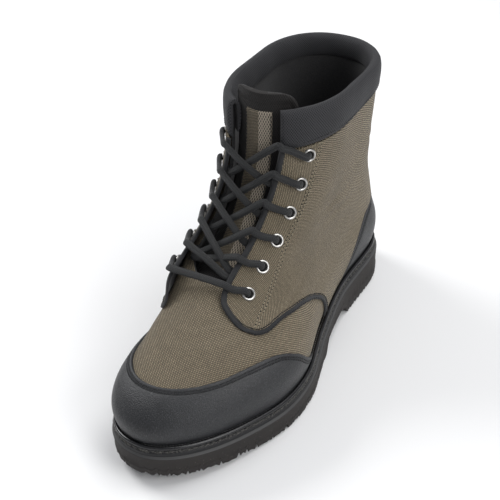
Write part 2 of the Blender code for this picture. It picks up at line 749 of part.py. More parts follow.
def add_collar():
    """The padded collar band around the top of the shaft."""
    levels = np.array([QUARTER_TOP + 2 * SEAM_GAP, 0.905, 0.935, 0.970, 0.998])
    swell = np.array([0.35, 0.85, 1.0, 0.95, 0.45])
    columns = 30
    starts = [LATERAL_QUARTER_EDGE["around"][0], 2 - MEDIAL_QUARTER_EDGE["around"][0]]
    around = np.broadcast_to(np.linspace(*starts, columns), (len(levels), columns))
    level = np.broadcast_to(levels[:, None], around.shape)
    low = UPPER_FACE + OVERLAY_GAP + CLEARANCE
    outer = surface(around, level, low + (swell * COLLAR_PADDING)[:, None])
    add_piece("collar_band", *sheet_solid(outer, surface(around, level, low)), BLACK, 0.8)


def add_tongue():
    """The padded tongue under the throat, from its seam below the vamp to above the collar."""
    levels = np.concatenate([np.linspace(TONGUE_ROOT, 0.52, 4), np.linspace(0.60, TONGUE_TOP, 6)])
    room = CLEARANCE + LACE_ROOM * blend((levels - TONGUE_ROOT - 0.02) / 0.07)
    top = UPPER_FACE - UPPER_WALL - room
    columns = 9
    share = np.linspace(-1, 1, columns)
    width = TONGUE_HALF_WIDTH * (0.86 + 0.20 * blend((levels - TONGUE_ROOT) / 0.5))
    width = width * np.where(levels > 1.0, 0.86, 1.0)
    around = np.array([
        [around_at(abs(s) * w, min(level, 1.0), 1 if s >= 0 else -1) for s in share]
        for w, level in zip(width, levels)
    ])
    level = np.broadcast_to(levels[:, None], around.shape)
    thin = 1 - 0.6 * np.abs(share) ** 4
    thickness = TONGUE_THICKNESS * (0.5 + 0.5 * blend((levels - TONGUE_ROOT) / 0.12))[:, None] * thin
    outer = surface(around, level, top[:, None])
    inner = surface(around, level, top[:, None] - thickness)
    add_piece("tongue", *sheet_solid(outer, inner), BLACK, 0.85)


def flap_top(around, level, side, rise):
    """Point above a quarter's outer face."""
    around, level = np.asarray(around, float), np.asarray(level, float)
    low = UPPER_FACE + QUARTER_GAP + lift(around, level, side)
    return surface(around, level, low + OVERLAY_THICKNESS + rise)


def eyelet_place(pair, side):
    """Around and level values of one eyelet's centre."""
    level = EYELET_LEVEL + EYELET_STEP * pair
    start, growth = EYELET_ROW[side]
    return side * (start + growth * EYELET_STEP * pair), level


def add_eyelet(pair, side):
    """A rolled metal ring standing on the quarter."""
    around, level = eyelet_place(pair, side)
    centre = flap_top(around, level, side, 2 * CLEARANCE)
    step = 0.004
    along = flap_top(around, level + step, side, 0) - flap_top(around, level - step, side, 0)
    across = flap_top(around + step, level, side, 0) - flap_top(around - step, level, side, 0)
    normal = np.cross(across, along)
    normal /= np.linalg.norm(normal)
    along -= normal * (along @ normal)
    along /= np.linalg.norm(along)
    across = np.cross(along, normal)
    band = EYELET_RADIUS - EYELET_BORE
    section = ((0.0, 0.0), (0.20, 0.85), (0.70, 0.90), (1.0, 0.0))
    sides = 10
    loops = []
    for k in range(sides):
        turn = 2 * math.pi * k / sides
        out = along * math.cos(turn) + across * math.sin(turn)
        radii = [EYELET_BORE + band * share for share, _ in section]
        rises = [EYELET_RISE * share for _, share in section]
        loops.append([centre + out * radius + normal * rise for radius, rise in zip(radii, rises)])
    loops = np.array(loops)
    number = np.arange(sides * len(section)).reshape(sides, len(section))
    faces = []
    for k in range(sides):
        faces += strip_faces(number[k], number[(k + 1) % sides], closed=True)
    name = f"eyelet_{'lateral' if side > 0 else 'medial'}_{pair + 1}"
    add_piece(name, loops.reshape(-1, 3), faces, NICKEL, 0.25, 1.0)


def lace_sections(points, normals, sides=6):
    """Oval sections along a smooth line through the points."""
    joined = smooth_line(np.concatenate([points, normals], axis=1), 9)
    line, up = joined[:, :3], joined[:, 3:]
    along = np.gradient(line, axis=0)
    along /= np.linalg.norm(along, axis=1)[:, None]
    up = up - along * (up * along).sum(axis=1)[:, None]
    up /= np.linalg.norm(up, axis=1)[:, None]
    across = np.cross(along, up)
    turn = 2 * math.pi * (np.arange(sides) + 0.5) / sides
    oval = np.stack([np.cos(turn) * LACE_WIDTH / 2, np.sin(turn) * LACE_HEIGHT / 2], axis=1)
    wide = oval[None, :, :1] * across[:, None]
    tall = oval[None, :, 1:] * up[:, None]
    return line[:, None] + wide + tall


def over_flap(pair, side):
    """Lace points from an eyelet outwards over the quarter's bound edge, with their normals."""
    around, level = eyelet_place(pair, side)
    rows = LATERAL_QUARTER_EDGE if side > 0 else MEDIAL_QUARTER_EDGE
    edge = side * np.interp(level, rows["level"][4::-1], rows["around"][4::-1])
    rise = EYELET_RISE + LACE_HEIGHT / 2 + 5 * CLEARANCE
    places = np.array([around, around + (edge - around) * 0.55, edge])
    heights = np.array([rise, rise, rise + 0.0006])
    levels = np.full(3, level)
    return flap_top(places, levels, side, heights), read(NORMALS, places, levels)


def under_flap(pair, side):
    """Lace point just inside the throat, below the quarter's edge, with its normal."""
    _, level = eyelet_place(pair, side)
    level = max(level + 0.3 * EYELET_STEP, THROAT_LEVEL + 0.8 * THROAT_ROUND)
    rows = LATERAL_QUARTER_EDGE if side > 0 else MEDIAL_QUARTER_EDGE
    edge = np.interp(level, rows["level"][4::-1], rows["around"][4::-1])
    inner = side * (edge - around_at(0.0045, level, 1))
    depth = UPPER_FACE + 0.4 * (LATERAL_LIFT if side > 0 else MEDIAL_LIFT)
    return surface([inner], [level], depth), read(NORMALS, np.array([inner]), np.array([level]))


def add_laces():
    """The straight bar over the lowest eyelets, then a crossing for each further pair."""
    left, left_normal = over_flap(0, 1)
    right, right_normal = over_flap(0, -1)
    points = np.concatenate([left, right[::-1]])
    normals = np.concatenate([left_normal, right_normal[::-1]])
    add_piece("lace_bar", *tube_solid(lace_sections(points, normals)), BLACK, 0.8)
    for pair in range(1, EYELET_PAIRS):
        runs = []
        for side in (1, -1):
            start, start_normal = under_flap(pair - 1, -side)
            over, over_normal = over_flap(pair, side)
            points = np.concatenate([start, over[::-1]])
            normals = np.concatenate([start_normal, over_normal[::-1]])
            runs.append(tube_solid(lace_sections(points, normals)))
        cross = add_piece(f"lace_crossing_{pair}", *runs[0], BLACK, 0.8)
        other = add_piece(f"lace_crossing_{pair}_return", *runs[1], BLACK, 0.8)
        other.hide_render = True
        other.display_type = "WIRE"
        union = cross.modifiers.new("join", "BOOLEAN")
        union.operation = "UNION"
        union.solver = "EXACT"
        union.use_self = True
        union.object = other


def main():
    """Build every piece."""
    for old in list(bpy.data.objects):
        bpy.data.objects.remove(old)
    add_outsole()
    add_midsole()
    add_insole()
    add_upper()
    add_tongue()
    add_toe_cap()
    add_heel_counter()
    add_collar()
    for side in (1, -1):
        add_quarter(side)
        add_binding(side)
        for pair in range(EYELET_PAIRS):
            add_eyelet(pair, side)
    add_laces()


main()
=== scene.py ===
"""Looks of the wading boot: woven nylon, grained toe cap, bound quarters, padded tongue and collar, metal
eyelets, braided laces, welted midsole and lugged sole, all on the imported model's own shape.

Lengths are in metres. Shape functions work in shoe coordinates, where x runs from the heel end (0) to the
toe, as in the part's source. A place on the upper is (around, level): around runs from the instep ridge (0)
to the heel, 1 by the lateral side and -1 by the medial side, and level from the featherline (0) to the
collar (1). A side is 1 for lateral and -1 for medial.
"""

import math

import bmesh
import bpy
import numpy as np
from mathutils import Matrix, Vector


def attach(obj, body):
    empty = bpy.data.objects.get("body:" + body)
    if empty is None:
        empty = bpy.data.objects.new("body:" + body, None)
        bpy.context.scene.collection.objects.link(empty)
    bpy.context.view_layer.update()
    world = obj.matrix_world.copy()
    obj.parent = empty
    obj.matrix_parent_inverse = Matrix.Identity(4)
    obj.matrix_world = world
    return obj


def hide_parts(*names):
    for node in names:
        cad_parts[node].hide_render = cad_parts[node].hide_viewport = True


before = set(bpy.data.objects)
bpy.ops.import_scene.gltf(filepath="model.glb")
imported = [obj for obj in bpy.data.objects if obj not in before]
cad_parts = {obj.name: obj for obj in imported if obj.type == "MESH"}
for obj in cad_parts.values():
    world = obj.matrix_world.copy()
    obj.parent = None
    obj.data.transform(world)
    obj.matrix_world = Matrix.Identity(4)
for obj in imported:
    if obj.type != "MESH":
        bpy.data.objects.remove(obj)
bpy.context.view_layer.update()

# Overall sizes
SOLE_LENGTH = 0.318
BALL_WIDTH = 0.101
COLLAR_HEIGHT = 0.204
SHAFT_WIDTH = 0.086
CLEARANCE = 0.0003
OVERLAY_GAP = 0.0008
QUARTER_GAP = 0.0007

# Heights of the featherline, where the upper meets the midsole, and where they change along the sole
BALL_STACK = 0.025
HEEL_STACK = 0.034
PITCH_START = 0.090
PITCH_RUN = 0.125
TOE_SPRING = 0.0095
SPRING_START = 0.215

# Sole parts: offsets are outwards from the featherline
LIP_REACH = 0.0066
LIP_CHAMFER = 0.0022
MIDSOLE_REACH = 0.0052
MEDIAL_REACH_SHARE = 0.86
MIDSOLE_THICKNESS = 0.0056
LUG_DEPTH = 0.0050
BAR_PITCH = 0.0175
BAR_LENGTH = 0.0095
HEEL_BREAST = 0.088
FOREPART_START = 0.136
ARCH_RISE = 0.0060

# Upper parts: the last's surface is offset 0
UPPER_FACE = -0.0006
UPPER_WALL = 0.0025
OVERLAY_THICKNESS = 0.0010
BINDING_WIDTH = 0.0036
BINDING_RISE = 0.0020
TAPE_WIDTH = 0.0044
SIDE_BULGE = 0.0040
BULGE_HEIGHT = 0.040

# Toe and heel rounding of the outline, and the heights where the foot narrows to the shaft
TOE_ROUND = {1: 0.129, -1: 0.054}
TOE_POWER = {1: 1.75, -1: 2.4}
INSTEP_ROUND = 0.055
INSTEP_POWER = 1.95
INSTEP_FROM = 0.040
INSTEP_RUN = 0.080
HEEL_ROUND = 0.038
HEEL_POWER = 2.2
SHAFT_BACK_ROUND = 0.048
NARROW_FROM = 0.060
NARROW_TO = 0.098
ANKLE_WAIST = 0.003
SHAFT_FLARE = 0.004
FLARE_FROM = 0.110
FLARE_RUN = 0.090

# Throat and quarters
THROAT_LEVEL = 0.490
THROAT_ROUND = 0.035
FLAP_OVERHANG = 0.006
FLAP_RISE = {1: 0.0014, -1: 0.0080}
FLAP_REACH = 0.045
QUARTER_TOP = 0.885
CORNER_LEVEL = 0.42
SEAM_GAP = 0.0014
COUNTER_GAP = 0.0008

# Eyelets: each row's around value at the first pair, and its growth per unit of level
EYELET_PAIRS = 6
EYELET_LEVEL = 0.426
EYELET_STEP = 0.0855
EYELET_ROW = {1: (0.145, 0.190), -1: (0.200, 0.116)}
EYELET_RISE = 0.0013
RING_RADIUS = 0.0052
RING_BORE = 0.0032

# Laces: how far up each side they run before they cross the quarter's edge
LACE_ROOM = 0.0040
LACE_WIDTH = 0.0054
LACE_HEIGHT = 0.00368
LACE_CLIMB = {1: 0.052, -1: 0.020}

# Tongue and its middle panel
TONGUE_ROOT = 0.42
TONGUE_TOP = 1.04
TONGUE_END = 0.070
TONGUE_HALF_WIDTH = 0.034
TONGUE_THICKNESS = 0.0050
PANEL_FROM = 0.535
PANEL_TO = 0.985
PANEL_HALF_WIDTH = 0.0135

# Outline of the featherline: place along the sole, then half widths as shares of the ball width
OUTLINE = dict(
    along=(0.000, 0.142, 0.314, 0.472, 0.613, 0.708, 0.818, 1.000),
    lateral=(0.356, 0.376, 0.376, 0.455, 0.560, 0.592, 0.574, 0.574),
    medial=(0.356, 0.356, 0.307, 0.297, 0.392, 0.410, 0.446, 0.446),
)

# Instep ridge seen from above: place along the sole, sideways place as a share of the ball width
RIDGE = dict(
    along=(0.000, 0.314, 0.629, 0.818, 1.000),
    side=(0.000, -0.040, -0.104, -0.084, -0.069),
)

# Side profiles: place along the sole, height as a share from the featherline to the collar
FRONT_PROFILE = dict(
    along=(0.978, 0.983, 0.975, 0.943, 0.896, 0.824, 0.739, 0.645, 0.560, 0.497, 0.462, 0.450, 0.450),
    height=(0.000, 0.047, 0.097, 0.150, 0.191, 0.244, 0.300, 0.385, 0.485, 0.612, 0.759, 0.924, 1.000),
)
BACK_PROFILE = dict(
    along=(0.0205, 0.0160, 0.0175, 0.0320, 0.0440, 0.0440, 0.0360, 0.0270),
    height=(0.000, 0.094, 0.210, 0.357, 0.474, 0.620, 0.795, 1.000),
)

# Edges on the upper, the same as in the part's source. The rows of the toe cap and of both quarters aren't
# drawn by hand: a solver worked them out in another script, and they were copied from what it printed
TOE_CAP_EDGE = dict(
    around=(-0.444, -0.410, -0.376, -0.329, -0.274, -0.206, -0.122, -0.050, 0.034, 0.123, 0.200, 0.243)
    + (0.291, 0.341, 0.396, 0.451),
    level=(0.015, 0.050, 0.115, 0.161, 0.186, 0.192, 0.178, 0.169, 0.174, 0.184, 0.197, 0.196)
    + (0.177, 0.136, 0.073, 0.015),
)
LATERAL_QUARTER_EDGE = dict(
    around=(0.105, 0.082, 0.066, 0.053, 0.050, 0.061, 0.080, 0.125, 0.164, 0.202, 0.238, 0.288)
    + (0.336, 0.391, 0.459, 0.515, 0.561),
    level=(0.885, 0.740, 0.599, 0.526, 0.469, 0.427, 0.399, 0.345, 0.308, 0.280, 0.270, 0.273)
    + (0.261, 0.241, 0.196, 0.131, 0.020),
)
MEDIAL_QUARTER_EDGE = dict(
    around=(0.110, 0.106, 0.111, 0.116, 0.112, 0.109, 0.109, 0.134, 0.168, 0.209, 0.245, 0.295)
    + (0.342, 0.397, 0.465, 0.521, 0.563),
    level=(0.885, 0.740, 0.599, 0.506, 0.453, 0.406, 0.362, 0.323, 0.295, 0.277, 0.270, 0.271)
    + (0.260, 0.239, 0.193, 0.128, 0.020),
)
QUARTER_EDGE = {1: LATERAL_QUARTER_EDGE, -1: MEDIAL_QUARTER_EDGE}
COUNTER_EDGE = dict(
    around=(0.690, 0.720, 0.780, 0.850, 0.920, 1.000),
    level=(0.020, 0.110, 0.210, 0.265, 0.290, 0.300),
)
FACING_SEAM = dict(
    around=(0.196, 0.205, 0.230, 0.245, 0.240, 0.232, 0.250, 0.275),
    level=(0.300, 0.325, 0.375, 0.433, 0.490, 0.542, 0.700, 0.885),
)
FACING_SEAM_SHIFT = {1: 0.0, -1: 0.045}

# How far a quarter's free flap stands off the upper below it, as a share of its rise
FLAP_LIFT = dict(
    level=(0.300, 0.340, 0.370, 0.400, 0.500, 0.650, 0.885),
    share=(0.000, 0.100, 0.450, 1.000, 1.000, 0.700, 0.300),
)

# Around, level, slope, reach along, half width and depth of each soft crease: over the vamp where the
# foot bends, and at the ankle on both sides
CREASES = (
    (0.06, 0.318, 0.05, 0.20, 0.016, 0.00050), (-0.24, 0.300, -0.25, 0.12, 0.015, 0.00055),
    (0.30, 0.292, 0.30, 0.11, 0.015, 0.00055), (0.56, 0.470, -0.28, 0.11, 0.020, 0.00100),
    (0.50, 0.560, -0.20, 0.09, 0.018, 0.00080), (-0.56, 0.480, 0.28, 0.11, 0.020, 0.00100),
    (-0.52, 0.575, 0.20, 0.09, 0.018, 0.00080), (0.78, 0.640, 0.10, 0.12, 0.018, 0.00070),
    (-0.76, 0.655, -0.12, 0.12, 0.018, 0.00070),
)

# Section of the padded collar: level, and height over the quarters
COLLAR_SECTION = np.array([
    (0.890, 0.0002), (0.889, 0.0014), (0.894, 0.0022), (0.905, 0.0029), (0.925, 0.0035), (0.945, 0.0037),
    (0.965, 0.0036), (0.982, 0.0030), (0.994, 0.0018), (1.001, 0.0002), (1.003, -0.0014), (1.001, -0.0030),
    (0.993, -0.0046), (0.980, -0.0056), (0.960, -0.0062), (0.935, -0.0060), (0.915, -0.0052),
    (0.904, -0.0042), (0.902, -0.0034), (0.940, -0.0034), (0.985, -0.0032), (0.9905, -0.0016),
    (0.985, 0.0001), (0.940, 0.0001),
])

# Overlays: distances of the fine rows and stitch rows below the cut edge, the grid column that the lower
# rows are measured on, thickness, level of the lower edge and least spacing of the rows as a level
OVERLAY_ROWS = np.array([
    0.0, 0.00012, 0.0003, 0.0007, 0.0012, 0.0017, 0.0022, 0.0026, 0.0030, 0.0035, 0.0040, 0.0044, 0.0049,
    0.0058, 0.0070,
])
STITCH_ROWS = (0.0026, 0.0044)
MEASURED_COLUMN = 40
COVER_THICKNESS = 0.0014
COVER_BOTTOM = 0.002
ROW_SPACING = 0.0003

# An overlay's rounded cut edge, depth and width of the dip at a stitch row, and rise between the rows
EDGE_ROUND = 0.0006
DIP_DEPTH = 0.00045
DIP_WIDTH = 0.0005
ROW_RISE = 0.00022

# A stitch from end to end, in shares of its half length and radius: place, height and girth
STITCH_PLACE = np.array([-1.0, -0.86, -0.45, 0.45, 0.86, 1.0])
STITCH_ARCH = np.array([-0.9, 0.0, 0.55, 0.55, 0.0, -0.9])
STITCH_GIRTH = np.array([0.45, 0.85, 1.0, 1.0, 0.85, 0.45])

# Share of a seam's pitch that its stitches cover, and the pits between them, which hold near-black strands
# of
# painted shade: fill, radius and sink
STITCH_FILL = 0.66
OVERLAY_PITS = (0.26, 0.00042, 0.1)
FACING_PITS = (0.34, 0.00044, 0.4)
BINDING_PITS = (0.32, 0.00042, 0.1)

# Pitches of the sewing and the threads' radius: seams, binding, and the two rows on the welt
SEAM_PITCH = 0.0028
SEAM_THREAD = 0.00036
BINDING_PITCH = 0.0027
BINDING_THREAD = 0.00032
LIP_PITCH = 0.0021
FLUFF_PITCH = 0.0046
FIBRES = 13

# Resolution of the last's surface and of the loops around the sole
PROFILE_POINTS = 400
LEVELS = 240
AROUND = 240
WELT_STATIONS = 180
RIM_STATIONS = 1200
SLICE_POINTS = 60

# The lengths that a unit of level and a unit of around stand for, about, and the vamp's slope
LEVEL_LENGTH = 0.17
AROUND_LENGTH = 0.2
VAMP_SLOPE = 1.12

SIDES = (1, -1)
SIDE_NAME = {1: "lateral", -1: "medial"}
UP = np.array([0.0, 0.0, 1.0])


def blend(share):
    """Smooth step from 0 to 1."""
    share = np.clip(share, 0.0, 1.0)
    return share * share * (3.0 - 2.0 * share)


def between(first, second, share):
    """A value or point a share of the way from the first to the second."""
    return first * (1 - share) + second * share


def unit(vectors):
    """Vectors scaled to length 1."""
    return vectors / np.linalg.norm(vectors, axis=-1, keepdims=True)


def pairs(first, second):
    """Two values for each point, side by side."""
    return np.stack(np.broadcast_arrays(first, second), axis=-1)


def turns(count):
    """Angles spaced evenly around a circle."""
    return np.linspace(0, 2 * math.pi, count + 1)[:-1]


def through(at, places, values):
    """Height of a smooth curve that runs through the values at the places."""
    places = np.asarray(places, float)
    values = np.asarray(values, float)
    slopes = np.gradient(values, places)
    k = np.clip(np.searchsorted(places, at) - 1, 0, len(places) - 2)
    span = places[k + 1] - places[k]
    t = np.clip((at - places[k]) / span, 0.0, 1.0)
    from_left = (1 + 2 * t) * (1 - t) ** 2 * values[k] + t * (1 - t) ** 2 * span * slopes[k]
    from_right = t * t * (3 - 2 * t) * values[k + 1] + t * t * (t - 1) * span * slopes[k + 1]
    return from_left + from_right


def run_of(line):
    """Length run along a polyline, point by point."""
    return np.concatenate([[0.0], np.cumsum(np.linalg.norm(np.diff(line, axis=0), axis=1))])


def columns_at(at, knots, table):
    """Each column of a table, interpolated at the same places."""
    return np.stack([np.interp(at, knots, column) for column in table.T], axis=-1)


def evenly(points, count):
    """Points spaced evenly by length along a polyline."""
    run = run_of(points)
    return columns_at(np.linspace(0.0, run[-1], count), run, points)


def smooth_line(points, count):
    """A smooth curve through the points, spaced evenly by length."""
    knots = np.arange(len(points))
    at = np.linspace(0, len(points) - 1, 20 * len(points))
    return evenly(np.stack([through(at, knots, column) for column in points.T], axis=1), count)


def round_end(distance, power):
    """Share of the full width at a distance from a rounded end, as a share of the rounding."""
    share = np.clip(distance, 0.0, 1.0)
    return (1.0 - (1.0 - share) ** power) ** (1.0 / power)


# The last


def ground_height(x):
    """Height of the tread above the ground: flat, then the toe spring."""
    spring = np.clip((x - SPRING_START) / (SOLE_LENGTH - SPRING_START), 0.0, 1.2)
    return TOE_SPRING * spring**2


def feather_height(x):
    """Height of the featherline plane: heel pitch, then toe spring."""
    return HEEL_STACK + (BALL_STACK - HEEL_STACK) * blend((x - PITCH_START) / PITCH_RUN) + ground_height(x)


def profile(rows):
    """A side profile as evenly spaced x, z points from the featherline to the collar."""
    x = np.array(rows["along"]) * SOLE_LENGTH
    low = feather_height(x[0])
    return smooth_line(pairs(x, low + np.array(rows["height"]) * (COLLAR_HEIGHT - low)), PROFILE_POINTS)


FRONT = profile(FRONT_PROFILE)
BACK = profile(BACK_PROFILE)


def ridge_side(x):
    """Sideways place of the instep ridge."""
    return through(x / SOLE_LENGTH, RIDGE["along"], RIDGE["side"]) * BALL_WIDTH


def half_width(x, z, side):
    """Half width of the last from its ridge to one side."""
    foot = through(x / SOLE_LENGTH, OUTLINE["along"], OUTLINE[SIDE_NAME[side]]) * BALL_WIDTH
    foot = foot - side * ridge_side(x)
    rise = np.clip((z - feather_height(x)) / BULGE_HEIGHT, 0.0, 1.0)
    foot = foot + SIDE_BULGE * np.sin(rise * math.pi)
    shaft = SHAFT_WIDTH / 2 - ANKLE_WAIST + SHAFT_FLARE * blend((z - FLARE_FROM) / FLARE_RUN)
    narrow = blend((z - NARROW_FROM) / (NARROW_TO - NARROW_FROM))
    up = blend((z - INSTEP_FROM) / INSTEP_RUN)
    front_x = np.interp(z, FRONT[:, 1], FRONT[:, 0])
    back_x = np.interp(z, BACK[:, 1], BACK[:, 0])
    toe_round = between(TOE_ROUND[side], INSTEP_ROUND, up)
    toe = round_end((front_x - x) / toe_round, between(TOE_POWER[side], INSTEP_POWER, up))
    heel = round_end((x - back_x) / between(HEEL_ROUND, SHAFT_BACK_ROUND, narrow), HEEL_POWER)
    return between(foot, shaft, narrow) * toe * heel


def side_line(x, z, side):
    """Sideways place of the last's face on one side."""
    return ridge_side(x) + side * half_width(x, z, side)


def level_loop(level):
    """One loop around the last: ridge, lateral side, heel, medial side."""
    at = level * (PROFILE_POINTS - 1)
    front, back = (columns_at(at, np.arange(PROFILE_POINTS), line) for line in (FRONT, BACK))
    share = (1 - np.cos(np.linspace(0, math.pi, 160))) / 2
    x = front[0] + (back[0] - front[0]) * share
    straight = front[1] + (back[1] - front[1]) * share
    ends = feather_height(np.array([front[0], back[0]]))
    bottom = ends[0] + (ends[1] - ends[0]) * share
    z = straight + (feather_height(x) - bottom) * (1 - level) ** 4
    halves = [np.stack([x, side_line(x, z, side), z], axis=1) for side in SIDES]
    lateral, medial = (evenly(half, AROUND + 1) for half in halves)
    return np.concatenate([lateral[:-1], medial[::-1][:-1]])


LAST = np.array([level_loop(level) for level in np.linspace(0, 1, LEVELS + 1)])


def last_normals():
    """Unit normals of the last's surface, pointing out."""
    around = np.roll(LAST, -1, axis=1) - np.roll(LAST, 1, axis=1)
    normals = unit(np.cross(around, np.gradient(LAST, axis=0)))
    middle = LAST.mean(axis=1)[:, None]
    return normals * np.sign(((LAST - middle) * normals).sum())


NORMALS = last_normals()


def read_cell(table, rows, columns, down, across):
    """A table between its rows and the next ones, and between two columns."""
    low = between(table[rows, columns[0]], table[rows, columns[1]], across)
    high = between(table[rows + 1, columns[0]], table[rows + 1, columns[1]], across)
    return between(low, high, down)


def read(table, around, level):
    """A table of the last's surface read between its points."""
    across = np.mod(around, 2.0) * AROUND
    j = np.floor(across).astype(int)
    i = np.clip(np.floor(level * LEVELS), 0, LEVELS - 1).astype(int)
    columns = (j % (2 * AROUND), (j + 1) % (2 * AROUND))
    return read_cell(table, i, columns, (level * LEVELS - i)[..., None], (across - j)[..., None])


def outward(around, level):
    """Direction out of the last's surface."""
    return read(NORMALS, around, level)


def surface(around, level, offset=0.0):
    """Point at an offset from the last's surface."""
    around, level, offset = np.broadcast_arrays(
        np.asarray(around, float), np.asarray(level, float), np.asarray(offset, float)
    )
    return read(LAST, around, level) + outward(around, level) * offset[..., None]


def on_last(places, offset=0.0):
    """Points at an offset from the last's surface, for (around, level) places."""
    return surface(places[..., 0], places[..., 1], offset)


def half_loop(level, side):
    """Length of a level loop from the ridge to the heel on one side."""
    return run_of(surface(np.linspace(0, side, 60), level))[-1]


LOOP_LEVELS = np.linspace(0, 1, 25)
LOOP_LENGTHS = {side: np.array([half_loop(level, side) for level in LOOP_LEVELS]) for side in SIDES}


def loop_length(level, side):
    """Length from the ridge to the heel, read between the measured loops."""
    return np.interp(level, LOOP_LEVELS, LOOP_LENGTHS[side])


def around_at(distance, level, side):
    """The around value at a distance from the ridge."""
    return side * distance / loop_length(level, side)


def inset(line, width, side):
    """Move a line of (around, level) places sideways on the surface, to its right seen from outside."""
    step = 1e-3
    place = on_last(line)
    by_around = (surface(line[:, 0] + step, line[:, 1]) - place) / step
    by_level = (surface(line[:, 0], line[:, 1] + step) - place) / step
    tangent = unit(np.gradient(place, axis=0))
    sideways = np.cross(outward(line[:, 0], line[:, 1]), tangent) * side * width
    moved = line.copy()
    for k in range(len(line)):
        basis = np.stack([by_around[k], by_level[k]], axis=1)
        moved[k] += np.linalg.lstsq(basis, sideways[k], rcond=None)[0]
    return moved


def refine(line, count):
    """A line of (around, level) places spaced evenly on the surface."""
    run = run_of(on_last(line))
    return columns_at(np.linspace(0, run[-1], count), run, line)


def coons(bottom, top, left, right):
    """Grid of (around, level) places between four edge lines."""
    s = np.linspace(0, 1, len(bottom))[None, :, None]
    t = np.linspace(0, 1, len(left))[:, None, None]
    corners = between(between(bottom[0], bottom[-1], s), between(top[0], top[-1], s), t)
    return between(left[:, None], right[:, None], s) + between(bottom[None], top[None], t) - corners


def ripple(points, scale, seed):
    """Smooth noise between about -1 and 1 at points, from waves in fixed directions."""
    chance = np.random.default_rng(seed)
    total = np.zeros(points.shape[:-1])
    for _ in range(9):
        way = chance.normal(size=3)
        way *= scale * chance.uniform(0.6, 1.5) / np.linalg.norm(way)
        total += np.sin(points @ way * 2 * math.pi + chance.uniform(0, 6.28))
    return total / 4.0


# Loops and heights of the sole


def outline_ring(reach, drop, stations):
    """Loop around the sole, from the toe along the lateral side to the heel and back on the medial side."""
    toe, heel = FRONT[0, 0], BACK[0, 0]
    x = heel + (toe - heel) * (1 + np.cos(np.linspace(0, math.pi, stations + 1))) / 2
    lateral, medial = (pairs(x, side_line(x, feather_height(x), side)) for side in SIDES)
    loop = np.concatenate([lateral[:-1], medial[::-1][:-1]])
    along = np.roll(loop, -1, axis=0) - np.roll(loop, 1, axis=0)
    out = unit(np.stack([along[:, 1], -along[:, 0]], axis=1))
    share = np.where(out[:, 1] < 0, 1 - (1 - MEDIAL_REACH_SHARE) * out[:, 1] ** 2, 1.0)
    share = share if reach > 0 else np.ones_like(share)
    place = loop + out * (reach * share)[:, None]
    return np.column_stack([place, feather_height(place[:, 0]) - drop])


SOLE_EDGE = outline_ring(LIP_REACH, 0.0, 200)
ORIGIN = np.append((SOLE_EDGE.min(axis=0) + SOLE_EDGE.max(axis=0))[:2] / 2, 0.0)


def arch_share(x, rear, front):
    """1 under the arch and 0 under heel and forepart, with slopes of the given lengths between."""
    return blend((x - HEEL_BREAST) / rear) * blend((FOREPART_START - x) / front + 1)


def tread_base(x):
    """Height of the sole's underside between the lugs: raised at the arch."""
    return LUG_DEPTH + ground_height(x) + ARCH_RISE * arch_share(x, 0.014, 0.030)


# Edges and heights of the upper's parts


def edge_at(level, side, points=5):
    """Around value of a quarter's throat edge, from the first points of its table."""
    rows = QUARTER_EDGE[side]
    return np.interp(level, rows["level"][points - 1::-1], rows["around"][points - 1::-1])


def throat_edge(level, side):
    """Around value of the upper's own opening: a round bottom, then set back below the quarter's edge."""
    rows = QUARTER_EDGE[side]
    edge = through(level, rows["level"][4::-1], rows["around"][4::-1])
    share = round_end((level - THROAT_LEVEL) / THROAT_ROUND, 2.0)
    return (edge + around_at(FLAP_OVERHANG, level, 1)) * share * side


def counter_top(around):
    """Level of the heel counter's top edge."""
    return through(around, COUNTER_EDGE["around"], COUNTER_EDGE["level"])


def smooth_edge(rows, side, count):
    """An edge table as a fine line of (around, level) places, evenly spaced in the table's own steps."""
    knots = np.arange(len(rows["around"]))
    at = np.linspace(0, knots[-1], count)
    return pairs(side * through(at, knots, rows["around"]), through(at, knots, rows["level"]))


def lift(around, level, side):
    """How far the quarter's flap stands off the upper."""
    beyond = (np.abs(around) - edge_at(level, side, 7)) * loop_length(level, side)
    away = np.clip(1 - beyond / FLAP_REACH, 0.0, 1.0) ** 2
    height = through(level, FLAP_LIFT["level"], FLAP_LIFT["share"])
    return FLAP_RISE[side] * away * np.where(level < FLAP_LIFT["level"][0], 0.0, height)


def flap_top(around, level, side, rise):
    """Point above a quarter's outer face."""
    around, level = np.asarray(around, float), np.asarray(level, float)
    low = UPPER_FACE + QUARTER_GAP + lift(around, level, side)
    return surface(around, level, low + OVERLAY_THICKNESS + rise)


def crease(around, level):
    """Height of the soft creases: each is a trough with a low ridge on both sides."""
    total = 0.0
    for place, middle, slope, reach, width, depth in CREASES:
        along = (around - place) / reach
        off = (level - middle - slope * (around - place)) / width
        trough = np.exp(-(off**2)) - 0.55 * np.exp(-((off - 1.9) ** 2)) - 0.30 * np.exp(-((off + 2.1) ** 2))
        total = total - depth * trough * np.exp(-(along**2))
    return total


def quarter_low(places, side):
    """Height of a quarter's inner face over the last, creases included."""
    around, level = places[..., 0], places[..., 1]
    return UPPER_FACE + QUARTER_GAP + lift(around, level, side) + crease(around, level)


def eyelet_place(pair, side):
    """Around and level values of one eyelet's centre."""
    start, growth = EYELET_ROW[side]
    return side * (start + growth * EYELET_STEP * pair), EYELET_LEVEL + EYELET_STEP * pair


# Cloth coordinates

RISE = np.zeros(LAST.shape[:2])
RISE[1:] = np.cumsum(np.linalg.norm(np.diff(LAST, axis=0), axis=2), axis=0)


def cloth(around, level):
    """Lengths on the surface: around from the heel seam, and up from the featherline."""
    length = np.where(around > 0, loop_length(level, 1), loop_length(level, -1))
    across = np.sign(around) * (1 - np.abs(around)) * length
    return pairs(across, read(RISE[..., None], around, level)[..., 0])


